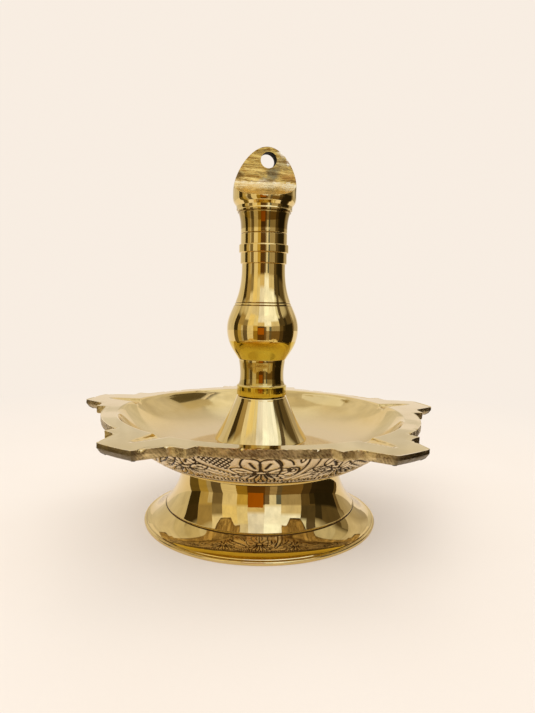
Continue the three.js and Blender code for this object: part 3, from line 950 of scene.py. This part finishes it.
def spine_of(base, angle, *distances):
    """Points at distances from the base. The angle is from straight up, towards the right."""
    up = np.array((sin(radians(angle)), -cos(radians(angle))))
    return np.array(base) + np.array(distances)[:, None] * up


def leaf(base, angle, length, width, fullness=1.0):
    """Closed outline of a leaf or petal."""
    shares = np.linspace(0, 1, 16)
    half = width / 2 * np.sin(pi * shares**fullness) ** 0.8
    spine = spine_of(base, angle, *(length * shares))
    out = spine_of((0, 0), angle + 90, *half)
    return np.vstack([spine + out, (spine - out)[::-1]])


def ellipse(centre, half_width, half_height):
    return np.array(centre) + circle(1, np.linspace(0, 2 * pi, 24), 0)[:, :2] * (half_width, half_height)


def flower_strokes(centre):
    """Two upright petals, two spread ones and a fan of thin leaves below, each a line and its width."""
    centre = np.array(centre, float)
    strokes = [(ellipse(centre, 1.9, 0.9), 1.0)]
    for side in (-1, 1):
        base = centre + (0.4 * side, -0.9)
        strokes.append((leaf(base, 30 * side, 9.4, 6.8, 1.35), 1.1))
        strokes.append((spine_of(base, 28 * side, 2.6, 6.2), 1.7))
        strokes.append((leaf(centre + (1.9 * side, -0.2), 76 * side, 8.4, 4.2, 1.1), 1.0))
        strokes.append((spine_of(centre + (1.9 * side, -0.2), 76 * side, 3.0, 6.0), 1.3))
        for angle in (102, 124, 146, 168):
            start = centre + (1.7 * side * sin(radians(angle)), 0.8)
            strokes.append((leaf(start, angle * side, 8.2, 2.3, 1.0), 0.85))
    return strokes


def smooth_lines(*lines):
    """Smooth lines, each given as its width and its knots."""
    return [(smooth_curve(*knots), width) for width, *knots in lines]


def hatching(first, last, count, width):
    """A row of short straight lines, from the first to the last."""
    first, last = np.array(first), np.array(last)
    return [(first + (last - first) * share, width) for share in np.linspace(0, 1, count)]


def ribbon_strokes():
    """A long curved leaf with a row of teeth, which passes under the lattice."""
    strokes = smooth_lines(
        (1.0, (-11.8, 0.8), (-8.0, 4.2), (-3.0, 7.4), (3.0, 10.2), (8.6, 12.2)),
        (0.9, (-12.6, 2.4), (-9.0, 6.6), (-3.6, 10.2), (2.6, 12.4), (8.6, 12.2)),
        (0.9, (-9.5, 9.4), (-4.5, 13.4), (1.5, 15.8), (7.5, 16.6)),
        (0.8, (-8.2, 12.8), (-3.5, 16.2), (2.0, 17.8)),
    )
    upper = strokes[0][0]
    for share in np.linspace(0.08, 0.8, 13):
        here = upper[int(share * (len(upper) - 1))]
        strokes.append((np.array([here, here + (0.35, 1.15)]), 0.95))
    return strokes + hatching(((-7.5, 12.25), (-6.6, 14.3)), ((6.0, 13.6), (6.9, 15.92)), 9, 0.7)


def scroll_strokes(centre):
    """A curled stem round a bead, with branching leaves."""
    turns = np.linspace(0, 1.7 * pi, 30)
    eye = np.array((-3.6, 7.6))
    curl = eye + circle(2.7 - 0.28 * turns, 1.2 - turns, 0)[:, :2]
    strokes = smooth_lines(
        (1.4, (-7.5, 14.5), (-3.4, 12.6), (-0.6, 8.6), (0.8, 4.4), (1.0, 0.2)),
        (1.25, (-2.2, 13.8), (1.6, 9.8), (4.4, 5.4), (5.2, 0.2)),
        (1.2, (0.4, 11.4), (4.6, 9.0), (8.4, 5.2), (10.6, 0.8)),
        (1.0, (1.0, 14.2), (5.4, 12.2), (9.6, 8.6), (12.4, 4.4)),
        (1.2, (-9.6, 0.4), (-8.0, 3.6), (-7.4, 7.6), (-8.2, 11.4)),
        (1.0, (-6.4, 0.2), (-4.6, 2.2), (-3.8, 4.4)),
        (0.9, (-6.8, 17.2), (-1.0, 16.4), (4.0, 15.6), (9.0, 13.4)),
    )
    strokes += [(curl, 1.25), (ellipse(eye + (0.1, 0.2), 1.05, 1.05), 1.0)]
    strokes.append((leaf((-1.6, 3.2), 12, 3.2, 1.5), 0.9))
    strokes += hatching(((3.6, 10.67), (4.73, 11.1)), ((9.6, 6.02), (10.88, 6.6)), 9, 0.75)
    strokes += hatching(((-5.6, 17.272), (-4.6, 18.86)), ((7.0, 15.76), (8.0, 17.6)), 8, 0.7)
    return [(line + (centre, 0), width) for line, width in strokes]


def line_fall(distance, width):
    """How deep in a cut a place lies, 1 in the middle, from its distance to the cut's line."""
    return np.clip(1 - distance / (engrave_half_width * width), 0, 1)


def stroke_fall(places, strokes):
    """The deepest fall at each place, and how far it is from the nearest cut."""
    fall, away = np.zeros(len(places)), np.full(len(places), pillow_reach)
    for line, width in strokes:
        low, high = line.min(0) - pillow_reach, line.max(0) + pillow_reach
        near = np.flatnonzero(((places > low) & (places < high)).all(1))
        if not len(near):
            continue
        start, step = line[:-1], np.diff(line, axis=0)
        squared = np.maximum((step**2).sum(1), 1e-9)
        offset = places[near][:, None] - start
        share = np.clip((offset * step).sum(2) / squared, 0, 1)
        distance = np.linalg.norm(offset - share[..., None] * step, axis=2).min(1)
        fall[near] = np.maximum(fall[near], line_fall(distance, width))
        away[near] = np.minimum(away[near], distance)
    return fall, away


def lattice_fall(places):
    """A patch of crossed lines between the ribbon and the next flower."""
    sideways, down = places[:, 0], places[:, 1]
    spacing, slant = 1.75, 0.9
    inside = (down > 0.4) & (down < 0.62 * (sideways + 11.2) - 0.7) & (sideways < 6.4 - 0.45 * down)
    fall = np.zeros(len(places))
    for side in (-1, 1):
        phase = (sideways + side * slant * down) / spacing
        away = np.abs(phase - np.round(phase)) * spacing / hypot(1, slant)
        fall = np.maximum(fall, line_fall(away, 0.85))
    return np.where(inside, fall, 0)


def engraving(angles, depths):
    """Fall of the engraving and height of its pillows, at each angle and distance down the band."""
    unit = radians(360 / band_units)
    wander = circle(50, angles, depths)
    local = (angles - radians(band_turn) + unit / 2) % unit - unit / 2
    sideways = local * band_plan_radius + 0.3 * ripple(wander, 16, 5)
    places = np.stack([sideways, depths + 0.25 * ripple(wander, 14, 6)], -1)
    width = unit * band_plan_radius
    strokes = ribbon_strokes() + scroll_strokes(width / 2)
    for side in (-1, 1):
        strokes += flower_strokes((side * width / 4, 9.6))
    fall, away = lattice_fall(places), np.full(len(places), pillow_reach)
    for shift in (-width, 0, width):
        more, nearer = stroke_fall(places + (shift, 0), strokes)
        fall, away = np.maximum(fall, more), np.minimum(away, nearer)
    for border in (band_height - 1.3, band_height - 0.3):
        fall = np.maximum(fall, line_fall(np.abs(depths - border), 1))
    tick = width / round(width / tick_spacing)
    across = np.abs((sideways / tick + 0.5) % 1 - 0.5) * tick
    length = smooth_step(depths, band_height - 4.2, band_height - 3.2) * (depths < band_height - 1.5)
    fall = np.maximum(fall, line_fall(across, 1) * length)
    return fall, pillow_height * smooth_step(away, 0, pillow_reach)


# Bowl, ring by ring; its materials in the order in which the piece holds them

bright, edge, carved, raw, under_reflected = range(5)
plain_columns = 360
plate_inset = 0.45
least_chip = 0.17
most_wear = 0.75
dent_depth = 0.10
groove_wall_end = mouth_radius - 5


def under_rings(add_ring):
    """Rings from the bolt hole outwards to the top of the engraved band, whose height is returned."""
    under = Outline(foot_neck_radius, bowl_base, band_step)
    under.rising_arc((shoulder_radius, rim_top - rim_thickness / 2), underside_slope)
    path = np.array(under.points)
    path = path[path[:, 0] <= band_top_radius]
    lengths = lengths_along(path)
    down = lengths[-1] - lengths
    tangents = np.gradient(path, axis=0)
    tangents /= np.linalg.norm(tangents, axis=1)[:, None]
    plain_angles = round_angles(plain_columns)
    for radius in np.linspace(bore_radius, foot_neck_radius, 8):
        add_ring(circle(radius, plain_angles, bowl_base), raw)
    engraved_rows = np.flatnonzero(down <= band_height)
    # Rings of the underside near the foot take the painted-reflection yellow
    for row in range(1, engraved_rows[0], 3):
        add_ring(circle(path[row, 0], plain_angles, path[row, 1]), under_reflected)
    angles = round_angles(band_columns)
    from_front = np.arctan2(np.cos(angles), -np.sin(angles))
    for row in engraved_rows:
        fall, pillow = engraving(from_front, np.full(band_columns, down[row]))
        rise = pillow_height - pillow + engrave_depth * (1 - (1 - fall) ** 2)
        radius = path[row, 0] - tangents[row, 1] * rise
        add_ring(circle(radius, angles, path[row, 1] + tangents[row, 0] * rise), carved, fall)
    return path[-1, 1]


class RimRings:
    """Adds rings that have a point for each point of the rim's plan."""

    def __init__(self, add_ring):
        self.add_ring = add_ring
        self.plan, self.normals = rim_plan()
        self.angles = np.arctan2(self.plan[:, 1], self.plan[:, 0])

    def inward(self, distance):
        """The plan moved inwards, by a distance that may differ from point to point."""
        return self.plan - self.normals * np.broadcast_to(distance, len(self.plan))[:, None]

    def around(self, radius):
        return circle(radius, self.angles, 0)[:, :2]

    def add(self, flat, heights, kind, recess=0.0):
        self.add_ring(np.column_stack([flat, np.broadcast_to(heights, len(flat))]), kind, recess)


def rim_chip(plan):
    """How far the plate's upper edge is worn away."""
    worn = np.clip(ripple(plan, 9.0, 11) - 0.25, 0, 1) * np.clip(0.5 + ripple(plan, 1.8, 16), 0, 1)
    return least_chip + most_wear * worn


def plate_edge(rim, band_end):
    """Rings from the band along the plate's underside and up its rough edge."""
    thickness = plate_thickness(rim.plan)
    spoutness = (thickness - rim_thickness) / (spout_thickness - rim_thickness)
    underside = rim_top - thickness
    # Painted shade in the inside corner where the band steps up to the plate's underside
    for beyond, share, corner_shade in ((0.3, 0.45, 0.5), (1.0, 0.9, 0.2)):
        rim.add(rim.around(band_top_radius + beyond), band_end + share * (underside - band_end), edge, corner_shade)
    inner = rim.around(band_top_radius + 1.8)
    lower_inset = plate_inset + (keel_inset - plate_inset) * spoutness
    lower_edge = rim.inward(lower_inset + 0.25)
    # The edge is painted darker at the spouts' tips, most towards the bottom
    spout_tip = smooth_step(spout_place(rim.plan)[0], spout_reach - 3.5, spout_reach - 1.2)
    for share in np.linspace(0, 1, 6):
        rim.add(inner + (lower_edge - inner) * share, underside, edge, 0.8 * spout_tip * (share == 1))
    low = 0.75 + 1.7 * spoutness
    rim.add(rim.inward(lower_inset * 0.5), underside + 0.3 * low, edge, 0.95 * spout_tip)
    chip = rim_chip(rim.plan)
    dents = np.minimum(dent_depth * ripple(rim.plan, 5.0, 12), 0)
    for share in np.linspace(0, 1, 7):
        heights = underside + low + (rim_top - chip - underside - low) * share
        rough = 0.05 * ripple(np.column_stack([rim.plan, heights]), 1.1, 13) + dents
        rim.add(rim.inward(0.06 - rough), heights, edge, (0.9 - 0.3 * share) * spout_tip)


def plate_face(rim):
    """Rings of the plate's face and of the bowl's lip, with the wick grooves."""
    chip = rim_chip(rim.plan)
    rim.add(rim.inward(chip * 0.45), rim_top - chip * 0.35, bright)
    outer, mouth = rim.inward(chip + 0.12), rim.around(mouth_radius + lip_round)
    for share in np.linspace(1, 0, 26) ** 1.15:
        flat = mouth + (outer - mouth) * share
        swell = 0.05 * ripple(flat, 22, 14) - 0.04 * smooth_step(share, 0.75, 1.0)
        cut = groove_depth(flat)
        gouge = 0.06 * ripple(flat, 2.4, 15) * smooth_step(cut, 0.1, 0.5)
        # The wick grooves take painted shade at the foot of their walls
        rim.add(flat, rim_top - 0.06 + swell - cut + gouge, bright, groove_shade(flat))
    lip = [(mouth_radius + 0.2, rim_top - 0.12), (mouth_radius - 0.1, rim_top - 0.36)]
    wall_path = inside_path()
    near_lip = (wall_path[:, 0] > groove_wall_end) & (wall_path[:, 0] < mouth_radius - 0.3)
    for radius, height in np.vstack([lip, wall_path[near_lip]]):
        flat = rim.around(radius)
        rim.add(flat, np.minimum(height, rim_top - groove_depth(flat)), bright)


def inside_path():
    """The bowl's inside from its mouth down to its floor."""
    wall = Outline(bowl_floor_radius, bowl_floor, 1.1)
    return np.array(wall.rising_arc((mouth_radius, rim_top), inside_slope).points)[::-1]


def inside_rings(add_ring):
    """Rings of the bowl's wall and floor, and of the boss under the bell."""
    levels = [level for level in inside_path() if level[0] <= groove_wall_end]
    for radius in np.linspace(bowl_floor_radius, boss_radius + boss_fillet, 7)[1:]:
        levels.append((radius, bowl_floor))
    for angle in np.radians((30, 60, 90)):
        levels.append((boss_radius + boss_fillet * (1 - sin(angle)),
                       bowl_floor + boss_fillet * (1 - cos(angle))))
    levels += [(boss_radius, boss_top - 0.3), (boss_radius - 0.3, boss_top)]
    levels += [(bore_radius + 0.3, boss_top), (bore_radius, boss_top - 0.3)]
    for radius, height in levels:
        add_ring(circle(radius, round_angles(plain_columns), height), bright)


def join_rings(rings, kinds):
    """Faces and materials of rings that may differ in their number of points. The last joins the first."""
    starts = np.cumsum([0] + [len(ring) for ring in rings])
    faces, materials = [], []
    order = list(range(len(rings))) + [0]
    for row, (here, above) in enumerate(zip(order, order[1:])):
        lower, upper = rings[here], rings[above]
        if len(lower) == len(upper):
            index = np.arange(len(lower))
            new = quads(starts[here] + index, starts[above] + index)
        else:
            new = zip_rings(np.arctan2(lower[:, 1], lower[:, 0]), np.arctan2(upper[:, 1], upper[:, 0]),
                            starts[here], starts[above])
        faces += new
        materials += [kinds[above if row else here]] * len(new)
    return faces, materials


def make_bowl():
    rings, marks, kinds = [], [], []

    def add_ring(points, kind, recess=0.0):
        rings.append(points)
        marks.append(np.broadcast_to(recess, len(points)))
        kinds.append(kind)

    band_end = under_rings(add_ring)
    rim = RimRings(add_ring)
    plate_edge(rim, band_end)
    plate_face(rim)
    inside_rings(add_ring)
    faces, materials = join_rings(rings, kinds)
    points = np.vstack(rings)
    share = np.clip((points[:, 2] - bowl_base) / (rim_top - bowl_base), 0, 1)
    points[:, 2] += share * (points[:, :2] @ rim_tilt)
    brass = [bowl_bright, cast_edge, engraved, turned_raw, under_painted_reflection]
    make_piece("spout_bowl_cast", points, faces, "spout_bowl", brass,
               np.concatenate(marks), materials, crease=34)


# Fastening under the foot

def make_bolt():
    pitch, depth, columns, rows_per_turn, chamfer = 1.0, 0.5, 40, 8, 0.6
    angles = round_angles(columns)
    low, high = bolt_low[2], bolt_high[2]
    rings = []
    for height in np.arange(low, high, pitch / rows_per_turn):
        tooth = np.abs(2 * ((height / pitch - angles / (2 * pi)) % 1) - 1)
        end = min(height - low, high - height) / chamfer
        radius = np.minimum(bolt_radius - depth * np.clip(1.25 * tooth - 0.12, 0, 1),
                            bolt_radius - depth + depth * min(1, end) - 0.02)
        rings.append(circle(radius, angles, height))
    points = np.vstack(rings)
    faces = ring_faces(len(rings), columns)
    faces.append(list(range(columns))[::-1])
    faces.append(list(range(len(points) - columns, len(points))))
    make_piece("clamp_bolt_threaded", points, faces, "clamp_bolt", [zinc], crease=40)


def make_washer():
    radius, low, high = washer_high[0], washer_low[2], washer_high[2]
    burr = 0.15
    path = Outline(bore_radius, low + burr, 1)
    path.line(bore_radius + burr, low).line(radius - burr, low)
    path.line(radius, low + burr).line(radius, high - burr)
    path.line(radius - burr, high).line(bore_radius + burr, high).line(bore_radius, high - burr)
    make_turned("clamp_washer", path, 96, [stamped])


def make_nut():
    low, high, half_width = nut_low[2], nut_high[2], nut_high[1]
    columns, chamfer, sixth = 144, 0.6, pi / 3
    angles = round_angles(columns)
    flats = half_width / np.cos((angles - sixth / 2) % sixth - sixth / 2)
    corner = half_width / cos(sixth / 2)
    face_radius = half_width - 0.15
    levels = [(bore_radius, low + 0.3), (bore_radius + 0.3, low), (face_radius, low)]
    for rise in (0.15, 0.3, 0.45, chamfer):
        levels.append((face_radius + (corner - face_radius) * rise / chamfer, low + rise * 0.8))
    levels += [(radius, low + high - height) for radius, height in levels[::-1]]
    points = np.vstack([circle(np.minimum(radius, flats), angles, height) for radius, height in levels])
    faces = ring_faces(len(levels), columns, closed=True)
    make_piece("clamp_nut_hexagonal", points, faces, "clamp_nut", [zinc], crease=25)


# Stage

background = (0.94, 0.85, 0.76)
floor_half = 6000
floor_level = -0.1


def stage_mesh(name, points, faces, material):
    thing = new_mesh(name, points, faces, [material])
    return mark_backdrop(thing) or thing


def seen_share(tree):
    """1 for rays that show the pale background: from the camera, and off or through the lamp."""
    ray = add_node("LightPath", tree=tree).outputs
    share = math_node("MAXIMUM", ray["Is Camera Ray"], ray["Is Glossy Ray"])
    return math_node("MAXIMUM", share, ray["Is Transmission Ray"])


def floor_material():
    """Pale paper that fades into the background away from the lamp."""
    material, here = new_material("pale_floor")
    tint = fade(noise(here, 9), 0.35, 0.65, (0.90, 0.80, 0.70), (0.92, 0.83, 0.74))
    surface(material, tint, 0.9, [(noise(here, 900, 4, 0.6), 0.05)], metallic=0.0)
    tree = material.node_tree
    shader = tree.nodes["Principled BSDF"]
    shader.inputs["Specular IOR Level"].default_value = 0.0
    far = remap(vector_math("LENGTH", here), 0.04, 0.36, 0.34, 1)
    glow = add_node("Emission", {"Color": rgba(background), "Strength": 1.0}, tree)
    share = math_node("MULTIPLY", far, seen_share(tree))
    both = add_node("MixShader", {0: share, 1: shader.outputs[0], 2: glow.outputs[0]})
    tree.links.new(both.outputs[0], tree.nodes["Material Output"].inputs["Surface"])
    return material


def make_floor():
    corners = ((-1, -1), (1, -1), (1, 1), (-1, 1))
    points = [(x * floor_half, y * floor_half, floor_level) for x, y in corners]
    stage_mesh("floor", points, [(0, 1, 2, 3)], floor_material())


def card_material(name, colour, below=None, fade_start=0, fade_end=1):
    """A glowing card. At its foot it has the tone below it, which fades into its own."""
    strength = max(1.0, *colour)
    material, here = new_material(name)
    tree = material.node_tree
    tree.nodes.remove(tree.nodes["Principled BSDF"])
    blotches = noise(vector_math("MULTIPLY", here, (1, 1, 0.35)), 7, 4, 0.6)
    dark, light = ([tone * c / strength for c in colour] for tone in (0.88, 1.08))
    tint = fade(blotches, 0.36, 0.62, dark, light)
    if below:
        height = split(here)["Z"]
        tint = fade(height, fade_start, fade_end, [c / strength for c in below], tint)
    glow = add_node("Emission", {"Color": tint, "Strength": strength})
    tree.links.new(glow.outputs[0], tree.nodes["Material Output"].inputs["Surface"])
    return material


def make_card(name, azimuths, profile, colour, below=None):
    """A curved reflection card. Azimuth 0 is where the camera stands, and grows to its right."""
    columns = 14
    radii, heights = np.array(profile).T[..., None]
    points = circle(radii, np.radians(np.linspace(*azimuths, columns) - 90), heights).reshape(-1, 3)
    index = np.arange(len(points)).reshape(-1, columns)
    faces = np.stack([index[:-1, :-1], index[:-1, 1:], index[1:, 1:], index[1:, :-1]], -1).reshape(-1, 4)
    foot, head = profile[0][1], profile[-1][1]
    material = card_material(name, colour, below, foot, foot + 0.2 * (head - foot))
    only_mirrored(stage_mesh(name, points / MM, faces.tolist(), material))


def only_mirrored(card):
    """Leaves the card to be seen in the metal alone."""
    card.visible_camera = card.visible_diffuse = False
    card.visible_transmission = card.visible_shadow = False


def make_panel(name, side, outline, colour):
    """A flat upright reflection card beside the lamp, in millimetres."""
    points = [(side, back, height) for back, height in outline]
    only_mirrored(stage_mesh(name, points, [tuple(range(len(points)))], card_material(name, colour)))


def wall(elevations):
    """Upright profile of a card between two elevations, which leans over the lamp at the top."""
    rows, distance, centre = 8, 1.1, 0.04
    return [(distance * cos(e), distance * sin(e) + centre)
            for e in np.radians(np.linspace(*elevations, rows))]


# Strips round the lamp: azimuths, tone of the upright card and tone of the card on the ground
low_strips = (
    ((-150, -105), (0.76, 0.70, 0.60), None),
    ((-105, -87), (0.05, 0.035, 0.012), (0.16, 0.11, 0.03)),
    ((-87, -73), (0.60, 0.46, 0.20), (0.50, 0.36, 0.10)),
    ((-73, -66), (0.72, 0.64, 0.50), (0.50, 0.42, 0.30)),
    ((-66, -51), (0.24, 0.18, 0.10), (0.16, 0.12, 0.07)),
    ((-51, -31), (0.90, 0.80, 0.60), (0.85, 0.75, 0.56)),
    ((-31, -17), (0.66, 0.47, 0.12), (0.36, 0.22, 0.03)),
    ((-17, 5), (0.12, 0.06, 0.02), (0.14, 0.06, 0.01)),
    ((5, 11), (0.20, 0.15, 0.10), (0.20, 0.12, 0.05)),
    ((11, 20), (0.95, 0.92, 0.88), (0.42, 0.32, 0.20)),
    ((20, 27), (0.16, 0.18, 0.20), (0.16, 0.12, 0.07)),
    ((27, 55), (0.46, 0.38, 0.26), (0.20, 0.12, 0.04)),
    ((55, 68), (0.13, 0.09, 0.04), (0.08, 0.05, 0.02)),
    ((68, 76), (0.05, 0.035, 0.015), (0.03, 0.02, 0.01)),
    ((76, 112), (0.026, 0.019, 0.009), (0.026, 0.018, 0.008)),
    ((112, 118), (0.20, 0.14, 0.07), (0.12, 0.08, 0.03)),
    ((118, 150), (0.50, 0.43, 0.32), None),
)
wall_top = 11
ground_profile = ((0.125, 0.0004), (1.12, 0.0005))

# Patches above the strips: azimuths, elevations and tone
high_patches = (
    ((-150, -118), (11, 60), (0.80, 0.73, 0.64)),
    ((-118, -105), (11, 60), (0.72, 0.65, 0.52)),
    ((-105, -87), (11, 28), (0.06, 0.04, 0.015)),
    ((-105, -87), (28, 60), (0.68, 0.60, 0.44)),
    ((-87, -66), (11, 34), (0.44, 0.33, 0.16)),
    ((-87, -66), (34, 60), (0.76, 0.70, 0.58)),
    ((-66, -51), (11, 26), (0.34, 0.27, 0.16)),
    ((-66, -51), (26, 60), (0.96, 0.88, 0.74)),
    ((-51, -31), (11, 40), (1.00, 0.86, 0.52)),
    ((-51, -31), (40, 60), (0.90, 0.84, 0.78)),
    ((-31, -17), (11, 40), (0.96, 0.88, 0.66)),
    ((-31, -17), (40, 60), (0.82, 0.77, 0.72)),
    ((-17, 5), (11, 22), (0.80, 0.66, 0.42)),
    ((-17, 5), (22, 60), (1.02, 1.08, 1.45)),
    ((5, 27), (11, 40), (1.22, 1.34, 1.80)),
    ((5, 27), (40, 60), (1.35, 1.55, 2.10)),
    ((27, 55), (11, 24), (0.82, 0.74, 0.60)),
    ((27, 55), (24, 60), (1.22, 1.36, 1.82)),
    ((55, 76), (11, 30), (0.10, 0.075, 0.04)),
    ((55, 64), (30, 60), (0.90, 0.95, 1.02)),
    ((64, 76), (30, 60), (0.13, 0.10, 0.07)),
    ((76, 86), (11, 28), (0.05, 0.038, 0.02)),
    ((86, 112), (11, 28), (0.12, 0.088, 0.044)),
    ((76, 104), (28, 60), (0.66, 0.62, 0.54)),
    ((104, 120), (28, 60), (0.60, 0.54, 0.43)),
    ((112, 120), (11, 28), (0.30, 0.25, 0.17)),
    ((120, 150), (11, 60), (0.72, 0.65, 0.56)),
    ((150, 210), (11, 22), (0.76, 0.70, 0.60)),
    ((-180, -110), (61, 80), (0.92, 0.87, 0.78)),
    ((-110, -40), (61, 80), (0.70, 0.62, 0.48)),
    ((-40, 180), (61, 80), (1.00, 0.97, 0.91)),
    ((-180, 180), (80, 89.5), (0.95, 0.90, 0.82)),
)

# Panels beside the lamp, which show in the bowl's back wall: side, corners in depth and height, tone
side_panels = (
    (60, ((27, 184), (50, 184), (84, 166), (84, 146), (60, 148), (36, 162)), (0.13, 0.10, 0.05)),
    (60, ((44, 204), (60, 232), (100, 190), (84, 167), (50, 185)), (0.62, 0.53, 0.36)),
    (-60, ((8, 226), (20, 240), (62, 214), (90, 180), (76, 162), (55, 164)), (1.0, 0.97, 0.92)),
    (-60, ((64, 163), (76, 167), (86, 164), (80, 158), (66, 159)), (0.40, 0.31, 0.16)),
)


def tone_below(azimuths, elevation):
    """Tone of the patch or strip that ends where a patch begins."""
    middle = sum(azimuths) / 2
    for spread, heights, tone in high_patches:
        if spread[0] <= middle <= spread[1] and heights[1] == elevation:
            return tone
    for spread, tone, _ in low_strips:
        if spread[0] <= middle <= spread[1]:
            return tone
    return None


def make_cards():
    """Plain cards of different tones round the lamp, which only the metal mirrors."""
    for number, (azimuths, tone, ground) in enumerate(low_strips):
        make_card("strip_%d" % number, azimuths, wall((-3, wall_top)), tone)
        if ground:
            make_card("ground_%d" % number, azimuths, ground_profile, ground)
    for number, (azimuths, elevations, tone) in enumerate(high_patches):
        below = tone_below(azimuths, elevations[0])
        make_card("patch_%d" % number, azimuths, wall(elevations), tone, below)
    for number, (side, outline, tone) in enumerate(side_panels):
        make_panel("panel_%d" % number, side, outline, tone)
    make_card("amber_strip", (-16, 3), [(0.31, 0.005), (0.31, 0.105)], (0.44, 0.13, 0.004))


def add_area(name, place_at, target, size, power, colour=(1, 0.96, 0.9)):
    light = bpy.data.lights.new(name, "AREA")
    light.shape, light.size, light.size_y = "RECTANGLE", size[0], size[1]
    light.energy, light.color = power, colour
    lamp = bpy.data.objects.new(name, light)
    lamp.location = place_at
    lamp.visible_glossy = False
    lamp.rotation_euler = (Vector(target) - Vector(place_at)).to_track_quat("-Z", "Y").to_euler()
    bpy.context.scene.collection.objects.link(lamp)


def light_scene():
    world = bpy.data.worlds.new("pale_room")
    bpy.context.scene.world = world
    world.use_nodes = True
    tree = world.node_tree
    tree.nodes.clear()
    lit = add_node("Background", {"Color": rgba((1.0, 0.98, 0.95)), "Strength": 0.92}, tree)
    shown = add_node("Background", {"Color": rgba(background), "Strength": 1.0}, tree)
    both = add_node("MixShader", {0: seen_share(tree), 1: lit.outputs[0], 2: shown.outputs[0]})
    add_node("OutputWorld", {"Surface": both.outputs[0]})
    add_area("key_softbox", (-0.35, -0.6, 0.95), (0, 0, 0.06), (0.7, 0.7), 3)
    add_area("back_softbox", (0.2, 0.5, 1.0), (0, 0, 0.05), (0.8, 0.8), 2)


def make_camera():
    """Camera at the photograph's viewing angle. The photograph is 535 by 713 pixels."""
    photo_height, focal_pixels, sensor = 713, 569, 36
    side, back, height = -5.24, -243.66, 95.5
    heading, pitch, roll = radians(-1.78), radians(5.93), radians(0.99)
    data = bpy.data.cameras.new("camera")
    data.sensor_width = sensor
    data.lens = focal_pixels * sensor / photo_height
    data.clip_start, data.clip_end = 0.01, 50
    camera = bpy.data.objects.new("camera", data)
    turn = Matrix.Rotation(heading, 4, "Z") @ Matrix.Rotation(radians(90) - pitch, 4, "X")
    turn = turn @ Matrix.Rotation(roll, 4, "Z")
    camera.matrix_world = Matrix.Translation(Vector((side, back, height)) * MM) @ turn
    bpy.context.scene.collection.objects.link(camera)
    bpy.context.scene.camera = camera


make_foot()
make_bowl()
make_bell()
make_stem()
make_bolt()
make_washer()
make_nut()
make_floor()
make_cards()
light_scene()
make_camera()

bpy.context.scene.view_settings.view_transform = "Standard"
